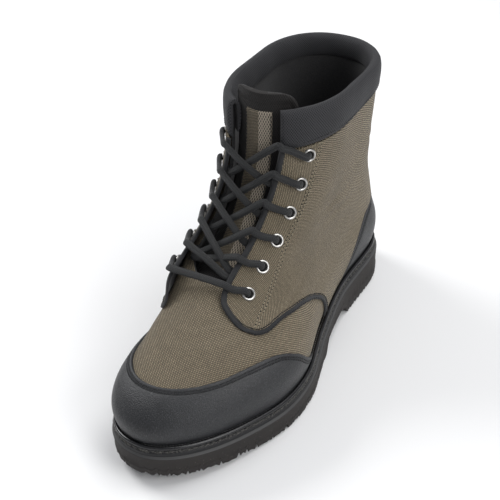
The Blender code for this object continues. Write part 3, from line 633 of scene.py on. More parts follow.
def slice_table():
    """For slices across the foot, the length over the instep from the ridge to a share of the height."""
    climb = FRONT[np.argmax(FRONT[:, 0]):]
    places = np.linspace(climb[-1, 0], climb[0, 0] - 1e-4, 90)
    tops = np.interp(places, climb[::-1, 0], climb[::-1, 1])
    share = np.linspace(0, 1, SLICE_POINTS) ** 2
    table = {side: [] for side in SIDES}
    for side in SIDES:
        for x, top in zip(places, tops):
            z = top - (top - feather_height(x)) * share
            table[side].append(run_of(pairs(half_width(np.full(SLICE_POINTS, x), z, side), z)))
    return places, tops, {side: np.array(rows) for side, rows in table.items()}


SLICES = slice_table()


def vamp_cloth(points):
    """Lengths over the vamp: across from the ridge, and along the foot on its slope."""
    places, tops, table = SLICES
    x, y, z = points[..., 0], points[..., 1], points[..., 2]
    top = np.interp(x, places, tops)
    share = np.sqrt(np.clip((top - z) / np.maximum(top - feather_height(x), 1e-4), 0, 1))
    down = np.clip((x - places[0]) / (places[1] - places[0]), 0, len(places) - 1.001)
    over = np.clip(share * (SLICE_POINTS - 1), 0, SLICE_POINTS - 1.001)
    i, j = down.astype(int), over.astype(int)
    lateral, medial = (read_cell(table[side], i, (j, j + 1), down - i, over - j) for side in SIDES)
    return pairs(np.where(y > ridge_side(x), lateral, -medial), -x * VAMP_SLOPE)


# Materials


class Shader:
    """A material's node tree, built up one node at a time."""

    def __init__(self, name, **values):
        """A material with values on its surface shader's own sockets."""
        self.material = bpy.data.materials.new(name)
        self.material.use_nodes = True
        self.nodes = self.material.node_tree.nodes
        self.links = self.material.node_tree.links
        self.surface = self.nodes["Principled BSDF"]
        for key, value in values.items():
            self.surface.inputs[key.replace("_", " ")].default_value = value

    def put(self, socket, value):
        """Link another socket to this one, or set its value."""
        if isinstance(value, bpy.types.NodeSocket):
            self.links.new(value, socket)
        else:
            socket.default_value = value

    def node(self, kind, inputs=(), **settings):
        """A new node with its settings and inputs."""
        made = self.nodes.new("ShaderNode" + kind)
        for key, value in settings.items():
            setattr(made, key, value)
        for key, value in dict(inputs).items():
            self.put(made.inputs[key], value)
        return made

    def math(self, operation, first, second=0.0, third=0.0):
        """A number worked out from up to three others."""
        return self.node("Math", {0: first, 1: second, 2: third}, operation=operation).outputs[0]

    def product(self, *values):
        """Two or more numbers multiplied."""
        total = values[0]
        for value in values[1:]:
            total = self.math("MULTIPLY", total, value)
        return total

    def wave(self, kind, value, rate):
        """Sine or cosine of a value times a rate."""
        return self.math(kind, self.product(value, rate))

    def humps(self, value):
        """Equal humps side by side, one for each whole number."""
        return self.math("ABSOLUTE", self.wave("SINE", value, math.pi))

    def vector(self, operation, first, second, socket=1):
        """A vector worked out from another and a vector, or a number in the Scale socket."""
        return self.node("VectorMath", {0: first, socket: second}, operation=operation).outputs[0]

    def split(self, vector):
        """The parts of a vector."""
        return self.node("SeparateXYZ", {0: vector}).outputs

    def uv(self):
        """Cloth coordinates."""
        return self.node("UVMap", uv_map="Cloth").outputs[0]

    def turned_uv(self, angle):
        """Cloth coordinates turned by an angle."""
        inputs = {"Vector": self.uv(), "Angle": angle}
        return self.node("VectorRotate", inputs, rotation_type="Z_AXIS").outputs[0]

    def position(self):
        """Place on the object."""
        return self.node("TexCoord").outputs["Object"]

    def noise(self, scale, detail=2.0, roughness=0.6):
        """Noise in space, between 0 and 1."""
        inputs = {"Vector": self.position(), "Scale": scale, "Detail": detail, "Roughness": roughness}
        return self.node("TexNoise", inputs).outputs["Fac"]

    def drift(self, place, scale):
        """Soft noise in all three directions."""
        return self.node("TexNoise", {"Vector": place, "Scale": scale, "Detail": 1.0}).outputs["Color"]

    def step(self, value, low, high, start=0.0, end=1.0):
        """Smooth step of a value between two limits."""
        inputs = {"Value": value, "From Min": low, "From Max": high, "To Min": start, "To Max": end}
        return self.node("MapRange", inputs, interpolation_type="SMOOTHSTEP").outputs["Result"]

    def mix(self, share, first, second):
        """Colour between two others."""
        return self.node("Mix", {0: share, 6: first, 7: second}, data_type="RGBA").outputs[2]

    def bump(self, height, distance, strength, normal=None):
        """Normal bent by a height, on top of another normal if one is given."""
        inputs = {"Height": height, "Distance": distance, "Strength": strength}
        if normal:
            inputs["Normal"] = normal
        return self.node("Bump", inputs).outputs["Normal"]

    def done(self, colour, roughness, normal=None):
        """The material, with its colour, roughness and bent normal."""
        for key, value in (("Base Color", colour), ("Roughness", roughness), ("Normal", normal)):
            if value is not None:
                self.put(self.surface.inputs[key], value)
        return self.material


def rgb(red, green, blue):
    """A colour with full cover."""
    return (red, green, blue, 1.0)


def weave_cells(shader, pitch, turn):
    """Height of a plain weave, whether the crosswise yarn is on top, and a cell vector for chance values."""
    drift = shader.vector("SUBTRACT", shader.drift(shader.uv(), 60.0), (0.5, 0.5, 0.5))
    place = shader.vector("ADD", shader.turned_uv(turn), shader.vector("SCALE", drift, pitch[0], "Scale"))
    cells = shader.vector("MULTIPLY", place, (1.0 / pitch[0], 1.0 / pitch[1], 0.0))
    whole = shader.node("VectorMath", {0: cells}, operation="FLOOR").outputs[0]
    parts, numbers = shader.split(cells), shader.split(whole)
    weft = shader.math("FLOORED_MODULO", shader.math("ADD", numbers[0], numbers[1]), 2.0)
    waves = [shader.humps(parts[axis]) for axis in (0, 1)]
    narrow = [shader.math("POWER", wave, 1.1) for wave in waves]
    wide = [shader.math("POWER", wave, 0.40) for wave in waves]
    over = shader.product(wide[0], narrow[1], weft)
    under = shader.product(narrow[0], wide[1], shader.math("SUBTRACT", 1.0, weft), 0.62)
    return shader.math("ADD", over, under), weft, whole


def nylon(name, pitch=(0.00080, 0.00094), turn=0.0, tint=1.0):
    """Coarse olive-brown nylon with uneven yarns: the yarns on top carry a painted highlight,
    the yarns beneath and the gaps between them painted shade.
    """
    shader = Shader(name, Specular_IOR_Level=0.3, Sheen_Weight=0.05, Sheen_Roughness=0.5)
    height, weft, whole = weave_cells(shader, pitch, turn)
    chance = shader.node("TexWhiteNoise", {"Vector": whole}, noise_dimensions="3D").outputs["Value"]
    patch = shader.noise(38.0, 3.0)

    def tone(value):
        """Olive brown of one brightness."""
        return rgb(value * tint, value * 0.82 * tint, value * 0.55 * tint)

    # Lighter tones for the yarns on top are a painted highlight, darker ones for the yarns beneath painted
    # shade; chance varies each yarn's tone
    over = shader.mix(chance, tone(0.400), tone(0.560))
    under = shader.mix(chance, tone(0.150), tone(0.230))
    top = shader.mix(weft, under, over)
    top = shader.mix(shader.step(patch, 0.35, 0.70, 0.0, 0.20), top, tone(0.16))
    # Near black where the weave is low: painted shade in the gaps between the yarns
    colour = shader.mix(shader.step(height, 0.10, 0.80), tone(0.016), top)
    fine = shader.noise(2600.0)
    normal = shader.bump(fine, 0.00006, 0.5, shader.bump(height, 0.00045, 0.9))
    return shader.done(colour, shader.step(fine, 0.2, 0.8, 0.50, 0.72), normal)


def grained(name):
    """Black pebble-grained synthetic leather with a satin face; the pebble tops and raised strands
    carry a painted highlight, the low strands painted shade.
    """
    shader = Shader(name, Specular_IOR_Level=0.45)
    place = shader.position()
    warped = shader.vector("ADD", place, shader.vector("SCALE", shader.drift(place, 700.0), 0.0006, "Scale"))
    scatter = {"Vector": warped, "Scale": 1450.0, "Smoothness": 0.5}
    distance = shader.node("TexVoronoi", scatter, feature="SMOOTH_F1").outputs["Distance"]
    pebble = shader.math("SUBTRACT", 1.0, distance)
    patch = shader.noise(26.0, 3.0)
    strands = shader.noise(1500.0)
    dark, light = rgb(0.0100, 0.0104, 0.0118), rgb(0.0150, 0.0156, 0.0174)
    colour = shader.mix(shader.step(patch, 0.35, 0.7), dark, light)
    # Lighter on each pebble's top: painted highlight
    colour = shader.mix(shader.step(pebble, 0.55, 0.95, 0.0, 0.45), colour, rgb(0.036, 0.038, 0.043))
    # Light specks where the strands stand high are a painted highlight, near-black ones where they lie low
    # painted shade
    colour = shader.mix(shader.step(strands, 0.50, 0.72, 0.0, 0.7), colour, rgb(0.060, 0.062, 0.066))
    colour = shader.mix(shader.step(strands, 0.28, 0.46, 0.6, 0.0), colour, rgb(0.003, 0.003, 0.004))
    normal = shader.bump(shader.noise(260.0, 2.0, 0.5), 0.00010, 0.5)
    normal = shader.bump(pebble, 0.00026, 0.8, normal)
    normal = shader.bump(strands, 0.00016, 0.7, normal)
    normal = shader.bump(shader.noise(2200.0, 3.0, 0.65), 0.00004, 0.5, normal)
    return shader.done(colour, shader.step(patch, 0.3, 0.7, 0.42, 0.52), normal)


def ribbed(name):
    """Black grosgrain tape: ribs across its length, which is the first cloth coordinate, painted
    lighter on their crests and near black between them: painted highlight and shade.
    """
    shader = Shader(name, Specular_IOR_Level=0.3, Sheen_Weight=0.08, Sheen_Roughness=0.4)
    wave = shader.wave("SINE", shader.split(shader.uv())[0], 2 * math.pi / 0.00082)
    rib = shader.math("MULTIPLY_ADD", wave, 0.5, 0.5)
    fine = shader.noise(2400.0)
    # Lighter on the rib crests and near black between them: painted highlight and shade
    colour = shader.mix(rib, rgb(0.004, 0.004, 0.004), rgb(0.038, 0.039, 0.042))
    colour = shader.mix(shader.step(fine, 0.5, 0.8, 0.0, 0.35), colour, rgb(0.060, 0.060, 0.064))
    return shader.done(colour, 0.62, shader.bump(fine, 0.00008, 0.5, shader.bump(rib, 0.00030, 0.9)))


def braided(name):
    """Black braided cord: ribs that lean both ways from the middle, in columns along the cord, grey
    on their crests and near black in the hollows: painted highlight and shade.
    """
    shader = Shader(name, Specular_IOR_Level=0.35, Sheen_Weight=0.06, Sheen_Roughness=0.4)
    parts = shader.split(shader.uv())
    along = shader.product(parts[0], 1.0 / 0.00135)
    columns = shader.product(parts[1], 7.0)
    zigzag = shader.math("PINGPONG", columns, 1.0)
    rib = shader.humps(shader.math("ADD", along, shader.product(zigzag, 0.9)))
    edge = shader.humps(columns)
    height = shader.product(shader.math("POWER", rib, 0.8), shader.math("POWER", edge, 0.35))
    fine = shader.noise(2600.0)
    # Grey on the rib crests and near black in the hollows: painted highlight and shade
    colour = shader.mix(height, rgb(0.002, 0.002, 0.002), rgb(0.026, 0.027, 0.028))
    colour = shader.mix(shader.step(fine, 0.5, 0.8, 0.0, 0.4), colour, rgb(0.045, 0.046, 0.048))
    return shader.done(colour, 0.55, shader.bump(fine, 0.00006, 0.5, shader.bump(height, 0.00045, 0.9)))


def thread(name, colour):
    """Twisted sewing thread."""
    shader = Shader(name, Specular_IOR_Level=0.4, Sheen_Weight=0.15)
    fine = shader.noise(3000.0)
    dark, light = (rgb(*[value * share for value in colour]) for share in (0.55, 1.5))
    return shader.done(shader.mix(fine, dark, light), 0.62, shader.bump(fine, 0.00010, 0.6))


def knit(name, dark, light, pitch):
    """Open mesh fabric with round holes in offset rows."""
    shader = Shader(name, Specular_IOR_Level=0.3, Sheen_Weight=0.05)
    parts = shader.split(shader.vector("SCALE", shader.turned_uv(math.pi / 4), 1.0 / pitch, "Scale"))
    waves = [shader.wave("COSINE", parts[axis], 2 * math.pi) for axis in (0, 1)]
    net = shader.math("MULTIPLY_ADD", shader.math("ADD", *waves), 0.25, 0.5)
    fine = shader.noise(2600.0)
    colour = shader.mix(shader.step(net, 0.25, 0.6), rgb(*dark), rgb(*light))
    return shader.done(colour, 0.8, shader.bump(fine, 0.00008, 0.5, shader.bump(net, 0.0003, 0.8)))


def rubber(name, low, high, roughness, specks=0.0, grain=0.00008):
    """Moulded rubber with a dull skin, faint flow marks and dust specks."""
    shader = Shader(name, Specular_IOR_Level=0.4)
    patch = shader.noise(45.0, 4.0)
    colour = shader.mix(shader.step(patch, 0.3, 0.7), rgb(*low), rgb(*high))
    if specks:
        dots = shader.node("TexVoronoi", {"Vector": shader.position(), "Scale": 640.0}, feature="F1").outputs
        near = shader.step(dots["Distance"], 0.05, 0.19, 1.0, 0.0)
        chosen = shader.math("GREATER_THAN", shader.split(dots["Color"])[0], 1.0 - specks)
        colour = shader.mix(shader.product(near, chosen, 0.7), colour, rgb(0.22, 0.20, 0.18))
    rough = shader.step(patch, 0.3, 0.7, roughness - 0.06, roughness + 0.06)
    return shader.done(colour, rough, shader.bump(shader.noise(1500.0, 3.0), grain, 0.7))


def metal(name):
    """Bright nickel plate with faint handling marks."""
    shader = Shader(name, Metallic=1.0)
    smudge = shader.noise(700.0, 3.0)
    colour = shader.mix(smudge, rgb(0.38, 0.37, 0.35), rgb(0.52, 0.51, 0.49))
    return shader.done(colour, shader.step(smudge, 0.3, 0.7, 0.24, 0.36), shader.bump(smudge, 0.00003, 0.4))


def plain_cloth(name, low, high):
    """Fine lining cloth; also the near-black disc of painted shade in each eyelet's hole."""
    shader = Shader(name, Specular_IOR_Level=0.25, Sheen_Weight=0.2)
    fine = shader.noise(1800.0, 3.0, 0.65)
    colour = shader.mix(shader.step(fine, 0.3, 0.7), rgb(*low), rgb(*high))
    colour = shader.mix(shader.step(shader.noise(40.0, 3.0), 0.4, 0.7, 0.0, 0.3), colour, rgb(*low))
    return shader.done(colour, 0.85, shader.bump(fine, 0.00012, 0.7))


VAMP_NYLON = nylon("vamp_nylon")
QUARTER_NYLON = nylon("quarter_nylon")
FACING_NYLON = nylon("facing_nylon", turn=0.75)
SATIN = nylon("olive_satin", (0.00050, 0.00050), 0.6, 0.70)
GRAINED = grained("grained_cap")
TAPE = ribbed("binding_tape")
CORD = braided("lace_braid")
BLACK_THREAD = thread("black_thread", (0.006, 0.006, 0.007))
OLIVE_THREAD = thread("olive_thread", (0.26, 0.225, 0.155))
# Near-black strands in the needle holes between stitches: painted shade
PIT_SHADE = thread("pit_shade", (0.003, 0.003, 0.003))
WELT_THREAD = thread("welt_thread", (0.115, 0.110, 0.100))
LIP_THREAD = thread("lip_thread", (0.16, 0.16, 0.155))
BEAD_RUBBER = rubber("bead_rubber", (0.009, 0.009, 0.010), (0.013, 0.013, 0.014), 0.19, grain=0.00001)
BAND_RUBBER = rubber("band_rubber", (0.005, 0.005, 0.006), (0.008, 0.008, 0.009), 0.60, specks=0.10)
# Lighter and greyer than the sidewall below: painted highlight on the chamfer, which faces up
CHAMFER_RUBBER = rubber("chamfer_rubber", (0.040, 0.040, 0.040), (0.050, 0.050, 0.050), 0.55)
SIDE_RUBBER = rubber("side_rubber", (0.0145, 0.0120, 0.0112), (0.0240, 0.0208, 0.0190), 0.78, specks=0.34)
NICKEL = metal("nickel")
# A near-black disc across each eyelet's bore: painted shade in the hole
EYELET_HOLE_SHADE = plain_cloth("eyelet_dark", (0.002, 0.002, 0.002), (0.006, 0.006, 0.006))
LINING = plain_cloth("lining_cloth", (0.012, 0.012, 0.013), (0.035, 0.034, 0.034))
FOOTBED = plain_cloth("footbed_cloth", (0.020, 0.020, 0.021), (0.060, 0.060, 0.062))
COLLAR_CLOTH = knit("collar_cloth", (0.006, 0.006, 0.007), (0.036, 0.036, 0.039), 0.0012)
TONGUE_CLOTH = knit("tongue_cloth", (0.002, 0.002, 0.002), (0.016, 0.014, 0.013), 0.0014)
TAN_MESH = knit("tan_mesh", (0.035, 0.030, 0.024), (0.330, 0.285, 0.225), 0.0016)


# Mesh helpers


def add_piece(name, points, faces, materials, uv=None, index=None, slot="nylon", nodes=(), sharp=45):
    """One mesh piece from points in shoe coordinates, riding with the boot."""
    mesh = bpy.data.meshes.new(name)
    mesh.from_pydata((np.asarray(points) - ORIGIN).tolist(), [], [[int(n) for n in face] for face in faces])
    for material in materials:
        mesh.materials.append(material)
    if index is not None:
        mesh.polygons.foreach_set("material_index", np.asarray(index, dtype=np.int32))
    if uv is not None:
        layer = mesh.uv_layers.new(name="Cloth")
        corners = np.empty(len(mesh.loops), dtype=np.int32)
        mesh.loops.foreach_get("vertex_index", corners)
        layer.data.foreach_set("uv", np.asarray(uv, dtype=np.float32).reshape(-1, 2)[corners].ravel())
    work = bmesh.new()
    work.from_mesh(mesh)
    bmesh.ops.recalc_face_normals(work, faces=work.faces)
    work.to_mesh(mesh)
    work.free()
    mesh.shade_smooth()
    mesh.set_sharp_from_angle(angle=math.radians(sharp))
    piece = bpy.data.objects.new(name, mesh)
    bpy.context.collection.objects.link(piece)
    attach(piece, "root")
    if nodes:
        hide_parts(*nodes)
    return piece


def bridge(first, second, closed=True):
    """Quads between two rows of point numbers."""
    quads = np.stack([first, np.roll(first, -1), np.roll(second, -1), second], axis=1)
    return quads if closed else quads[:-1]


def sheet(outer, inner, uv):
    """Points, faces, cloth coordinates and face index (0 outside, 1 inside) of a shell between two grids."""
    rows, columns = outer.shape[:2]
    number = np.arange(rows * columns).reshape(rows, columns)
    corners = [number[:-1, :-1], number[:-1, 1:], number[1:, 1:], number[1:, :-1]]
    face = np.stack(corners, axis=-1).reshape(-1, 4)
    rim = np.concatenate([number[0, :-1], number[:-1, -1], number[-1, :0:-1], number[:0:-1, 0]])
    faces = [face, (face + rows * columns)[:, ::-1], bridge(rim, rim + rows * columns)]
    index = np.repeat([0, 1, 0], [len(part) for part in faces])
    points = np.concatenate([outer.reshape(-1, 3), inner.reshape(-1, 3)])
    return points, np.concatenate(faces), np.tile(uv.reshape(-1, 2), (2, 1)), index


def ring_mesh(loops):
    """Points and faces of a closed ring through section loops."""
    number = np.arange(loops[..., 0].size).reshape(loops.shape[:2])
    faces = [bridge(*rows) for rows in zip(number, np.roll(number, -1, axis=0))]
    return loops.reshape(-1, 3), np.concatenate(faces).tolist()


def tube(loops):
    """Points and faces of a bar through section loops, closed at both ends."""
    points, faces = ring_mesh(loops)
    sides = loops.shape[1]
    number = np.arange(len(points))
    return points, faces[:-sides] + [number[:sides].tolist(), number[-sides:][::-1].tolist()]


def joined(parts):
    """Points and faces of several meshes as one."""
    points, faces, base = [], [], 0
    for made, quads in parts:
        points.append(made)
        faces += [[n + base for n in quad] for quad in quads]
        base += len(made)
    return np.concatenate(points), faces


def on_surface(line, height):
    """A line of (around, level) places as points in space with normals."""
    return on_last(line, height), outward(line[:, 0], line[:, 1])


def stitch_tubes(line, normals, pitch, fill, radius, sink, phase):
    """A row of stitches along a line in space, each a short arched strand."""
    run = run_of(line)
    count = max(int(run[-1] / pitch), 1)
    starts = (np.arange(count) + 0.5 + phase) * run[-1] / count
    at = starts[:, None] + STITCH_PLACE * pitch * fill / 2
    middle = columns_at(at, run, line)
    up = unit(columns_at(at, run, normals))
    across = np.cross(unit(middle[:, -1] - middle[:, 0])[:, None], up)
    middle = middle + up * ((STITCH_ARCH - sink) * radius)[:, None]
    turn = turns(6)[:, None]
    ring = across[..., None, :] * np.cos(turn) + up[..., None, :] * np.sin(turn)
    points = middle[..., None, :] + ring * (STITCH_GIRTH * radius)[:, None, None]
    return [tube(loops) for loops in points]


def add_stitches(name, rows, pitch, fill, radius, material, slot, sink=0.3, phase=0.0):
    """Rows of stitches as one piece; each row is a line of points with normals."""
    parts = [part for row in rows for part in stitch_tubes(*row, pitch, fill, radius, sink, phase)]
    add_piece(name, *joined(parts), [material], slot=slot, sharp=80)


def add_seam(names, rows, pitch, radius, material, slot, pit):
    """Rows of stitches, and near-black strands in the pits between them where the thread goes in: painted
    shade.
    """
    add_stitches(names[0], rows, pitch, STITCH_FILL, radius, material, slot)
    fill, width, sink = pit
    add_stitches(names[1], rows, pitch, fill, width, PIT_SHADE, slot, sink, 0.5)


# Upper


def add_upper():
    """The hollow upper: woven nylon outside, lining cloth inside."""
    low = np.concatenate([[0.0, 0.012, 0.030], np.linspace(0.055, THROAT_LEVEL, 58)])
    high = THROAT_LEVEL + np.array([0.0015, 0.005, 0.010, 0.016, 0.023, 0.033, 0.045])
    levels = np.concatenate([low, high, np.linspace(0.54, 1.0, 30)])
    throat_row, last = len(low) - 1, len(levels) - 1
    columns = 66
    spread = np.linspace(0, 1, columns)
    spread = spread - 0.07 * np.sin(2 * math.pi * spread)
    known, lines, around, level = {}, {}, [], []
    for i, height in enumerate(levels):
        for side in SIDES:
            edge = float(throat_edge(height, side)) if i > throat_row else 0.0
            line = []
            for j in range(columns):
                shared = j == columns - 1 or (j == 0 and i <= throat_row)
                key = (i, j, 0 if shared else side)
                if key not in known:
                    known[key] = len(around)
                    around.append(edge + (side - edge) * spread[j])
                    level.append(height)
                line.append(known[key])
            lines[i, side] = np.array(line)
    around, level = np.array(around), np.array(level)
    count = len(around)
    base = surface(around, level)
    puff = 0.00022 * ripple(base, 28.0, 5) * blend((level - 0.15) / 0.1) * blend((0.9 - level) / 0.1)
    outer = surface(around, level, UPPER_FACE + puff + crease(around, level))
    inner = surface(around, level, UPPER_FACE - UPPER_WALL)
    inner[level == 0.0, 2] = outer[level == 0.0, 2]
    faces, index = [], []
    for side in SIDES:
        for i in range(last):
            lower, upper = lines[i, side], lines[i + 1, side]
            faces += bridge(lower, upper, closed=False).tolist()
            faces += bridge(upper + count, lower + count, closed=False).tolist()
            index += [0] * (columns - 1) + [1] * (columns - 1)
        throat = np.array([lines[i, side][0] for i in range(throat_row, last + 1)])
        for rim in (lines[0, side], lines[last, side], throat):
            faces += bridge(rim, rim + count, closed=False).tolist()
            index += [1] * (len(rim) - 1)
    points, uv = np.concatenate([outer, inner]), np.tile(vamp_cloth(base), (2, 1))
    add_piece("upper_shell", points, faces, [VAMP_NYLON, LINING], uv, index, "nylon", ["upper"], 60)


def edge_height(distance):
    """Height of a sewn overlay at a distance from its cut edge: a rounded edge, a dip at each stitch row."""
    height = COVER_THICKNESS * (0.35 + 0.65 * round_end(distance / EDGE_ROUND, 2.0))
    for place in STITCH_ROWS:
        height = height - DIP_DEPTH * np.exp(-(((distance - place) / DIP_WIDTH) ** 2))
    return height + ROW_RISE * np.exp(-(((distance - sum(STITCH_ROWS) / 2) / DIP_WIDTH) ** 2))


def add_overlay(node, top, steps):
    """A sewn leather overlay below a top edge: fine rows at the edge, then steps down to the featherline."""
    low = UPPER_FACE + CLEARANCE
    near = np.array([inset(top, -distance, 1) for distance in OVERLAY_ROWS])
    foot = pairs(near[-1][:, 0], COVER_BOTTOM)
    share = np.linspace(0, 1, steps + 1)[1:, None, None]
    grid = np.concatenate([near, between(near[-1][None], foot[None], share)])
    floor = COVER_BOTTOM + ROW_SPACING * np.arange(len(grid))[::-1]
    grid[..., 1] = np.maximum(grid[..., 1], floor[:, None])
    around, level = grid[..., 0], grid[..., 1]
    base = on_last(grid)
    far = OVERLAY_ROWS[-1] + run_of(base[len(near) - 1:, MEASURED_COLUMN])[1:]
    distance = np.concatenate([OVERLAY_ROWS, far])[:, None]
    height = edge_height(distance) + 0.00010 * ripple(base, 60.0, 3) * blend(distance / 0.004)
    outer, inner = on_last(grid, low + height), on_last(grid, low - 0.0004)
    points, faces, uv, _ = sheet(outer, inner, cloth(around, level))
    name = node + "_cover"
    add_piece(name, points, faces, [GRAINED], uv, None, "cap_leather", [node])
    lines = [refine(inset(top, -place, 1), 400) for place in STITCH_ROWS]
    rows = [on_surface(line, low + COVER_THICKNESS - 0.00030) for line in lines]
    names = (name + "_stitches", name + "_holes")
    add_seam(names, rows, SEAM_PITCH, SEAM_THREAD, BLACK_THREAD, "cap_leather", OVERLAY_PITS)


def add_cap_and_counter():
    """The toe cap and the heel counter, each with two rows of stitches along its top edge."""
    at = np.linspace(TOE_CAP_EDGE["around"][0], TOE_CAP_EDGE["around"][-1], 400)
    top = pairs(at, through(at, TOE_CAP_EDGE["around"], TOE_CAP_EDGE["level"]))
    add_overlay("toe_cap", refine(top, 260), 26)
    front = COUNTER_EDGE["around"][0]
    at = np.linspace(front, 2 - front, 300)
    add_overlay("heel_counter", refine(pairs(at, counter_top(1 - np.abs(at - 1))), 160), 20)


def quarter_grid(side):
    """Grid of places of a quarter, between its bound edge, the counter, the heel seam and its top."""
    edge = inset(smooth_edge(QUARTER_EDGE[side], side, 300), BINDING_WIDTH * 0.55, side)
    corner = int(np.argmin(np.abs(edge[:, 1] - CORNER_LEVEL)))
    left = refine(edge[: corner + 1][::-1], 70)
    seam = side * (1.0 - SEAM_GAP * 0.4)
    back = np.linspace(COUNTER_EDGE["around"][0], 1.0, 60)
    above = inset(pairs(side * back, counter_top(back)), COUNTER_GAP, side)
    above[-1, 0] = seam
    before = np.linspace(edge[-1], above[0], 12)[1:-1]
    bottom = np.concatenate([refine(edge[corner:], 80), before, refine(above, 40)])
    run = np.linspace(0, 1, len(bottom))[:, None]
    top = between(left[-1], np.array([seam, left[-1, 1]]), run)
    return coons(bottom, top, left, np.linspace(bottom[-1], top[-1], len(left)))


def add_quarter(side):
    """A quarter of straight-woven nylon, with the double seam of its facing."""
    grid = quarter_grid(side)
    around, level = grid[..., 0], grid[..., 1]
    low = quarter_low(grid, side)
    puff = 0.00025 * ripple(on_last(grid), 24.0, 11) * blend((level - 0.2) / 0.2)
    outer, inner = on_last(grid, low + OVERLAY_THICKNESS + puff), on_last(grid, low - 0.0001)
    points, faces, uv, index = sheet(outer, inner, cloth(around, level))

    def seam_around(at):
        """Around value of the facing's seam at a level, without its side's sign."""
        return through(at, FACING_SEAM["level"], FACING_SEAM["around"]) + FACING_SEAM_SHIFT[side]

    middle = [np.tile(part.ravel(), 2)[faces].mean(axis=1) for part in (np.abs(around), level)]
    index = np.where((index == 0) & (middle[0] < seam_around(middle[1])), 2, index)
    name = SIDE_NAME[side]
    node = f"quarter_{name}"
    cloths = [QUARTER_NYLON, LINING, FACING_NYLON]
    add_piece(node + "_cloth", points, faces, cloths, uv, index, "nylon", [node], 60)
    at = np.linspace(FACING_SEAM["level"][0], QUARTER_TOP, 200)
    rows = []
    for shift in (-0.0011, 0.0011):
        line = inset(pairs(side * seam_around(at), at), shift, side)
        rows.append(on_surface(line, quarter_low(line, side) + OVERLAY_THICKNESS))
    names = (f"facing_seam_{name}", f"facing_holes_{name}")
    add_seam(names, rows, SEAM_PITCH, SEAM_THREAD, OLIVE_THREAD, "nylon", FACING_PITS)


def add_binding(side):
    """The ribbed tape over the quarter's edge: round and cord-like up the throat, flatter lower down."""
    edge = refine(smooth_edge(QUARTER_EDGE[side], side, 400), 380)
    turn = np.linspace(0, math.pi, 15)
    share, rise = (1 - np.cos(turn)) / 2, np.sin(turn) ** 0.75
    flat = blend((np.linspace(0, 1, len(edge)) - 0.50) / 0.06)[:, None]
    height = between(BINDING_RISE * 1.35 * rise, BINDING_RISE * 0.62 * rise**0.40, flat)
    for centre in (0.14, 0.86):
        height = height - flat * 0.00035 * np.exp(-(((share - centre) / 0.07) ** 2))
    under = (0.78, 0.22)
    insets = [TAPE_WIDTH * place + 1e-6 for place in share] + [BINDING_WIDTH * place for place in under]
    heights = [*(height - 0.0001).T] + [-0.0004] * len(under)
    loops = []
    for width, rise in zip(insets, heights):
        line = inset(edge, width, side)
        loops.append(on_last(line, quarter_low(line, side) + rise))
    across = np.concatenate([share, under]) * BINDING_WIDTH
    uv = pairs(run_of(on_last(edge))[:, None], across)
    name = SIDE_NAME[side]
    node = f"binding_{name}"
    tape = tube(np.stack(loops, axis=1))
    add_piece(node + "_tape", *tape, [TAPE], uv, None, "binding_tape", [node], 50)
    inner = inset(edge, TAPE_WIDTH - 0.00045, side)
    outer = inset(edge[215:], TAPE_WIDTH * 0.16, side)
    rows = [on_surface(inner, quarter_low(inner, side) + OVERLAY_THICKNESS + 0.0003)]
    rows.append(on_surface(outer, quarter_low(outer, side) + BINDING_RISE * 0.42))
    names = (f"binding_seam_{name}", f"binding_holes_{name}")
    add_seam(names, rows, BINDING_PITCH, BINDING_THREAD, BLACK_THREAD, "binding_tape", BINDING_PITS)


def eyelet_axes(pair, side):
    """Centre and directions of an eyelet: towards the throat, up the row, and out."""
    around, level = eyelet_place(pair, side)
    centre = flap_top(around, level, side, 0.0001)
    step = 0.004
    along = flap_top(around, level + step, side, 0) - flap_top(around, level - step, side, 0)
    across = flap_top(around + step, level, side, 0) - flap_top(around - step, level, side, 0)
    normal = unit(np.cross(across, along))
    normal *= np.sign(normal @ outward(around, level))
    along = unit(along - normal * (along @ normal))
    inwards = np.cross(along, normal)
    inwards *= np.sign(inwards @ (surface(0.0, level) - centre))
    return centre, inwards, along, normal


def add_eyelets(side):
    """Six rolled rings, each with its barrel and a near-black disc across its bore: painted shade in the
    hole that the lace comes out of.
    """
    turn = turns(36)[:, None]
    middle, half = (RING_RADIUS + RING_BORE) / 2, (RING_RADIUS - RING_BORE) / 2
    bend = np.linspace(0, math.pi, 9)
    section = [(middle + half * math.cos(b), EYELET_RISE * math.sin(b) ** 0.8) for b in bend]
    section += [(RING_BORE, -0.0006), (RING_RADIUS, -0.0002)]
    parts, index = [], []
    for pair in range(EYELET_PAIRS):
        centre, inwards, along, normal = eyelet_axes(pair, side)
        ways = inwards * np.cos(turn) + along * np.sin(turn)
        ring = np.stack([centre + ways * radius + normal * height for radius, height in section], axis=1)
        rim = centre + ways * (RING_BORE + 0.0002)
        # A near-black disc across the bore: painted shade in the hole
        disc = np.array([rim + normal * height for height in (0.00025, -0.0003)])
        parts += [ring_mesh(ring), tube(disc)]
        index += [0] * len(parts[-2][1]) + [1] * len(parts[-1][1])
    name = SIDE_NAME[side]
    nodes = [f"eyelet_{name}_{pair + 1}" for pair in range(EYELET_PAIRS)]
    metals = [NICKEL, EYELET_HOLE_SHADE]
    add_piece(f"eyelet_rings_{name}", *joined(parts), metals, None, index, "eyelet_metal", nodes, 60)


# Laces


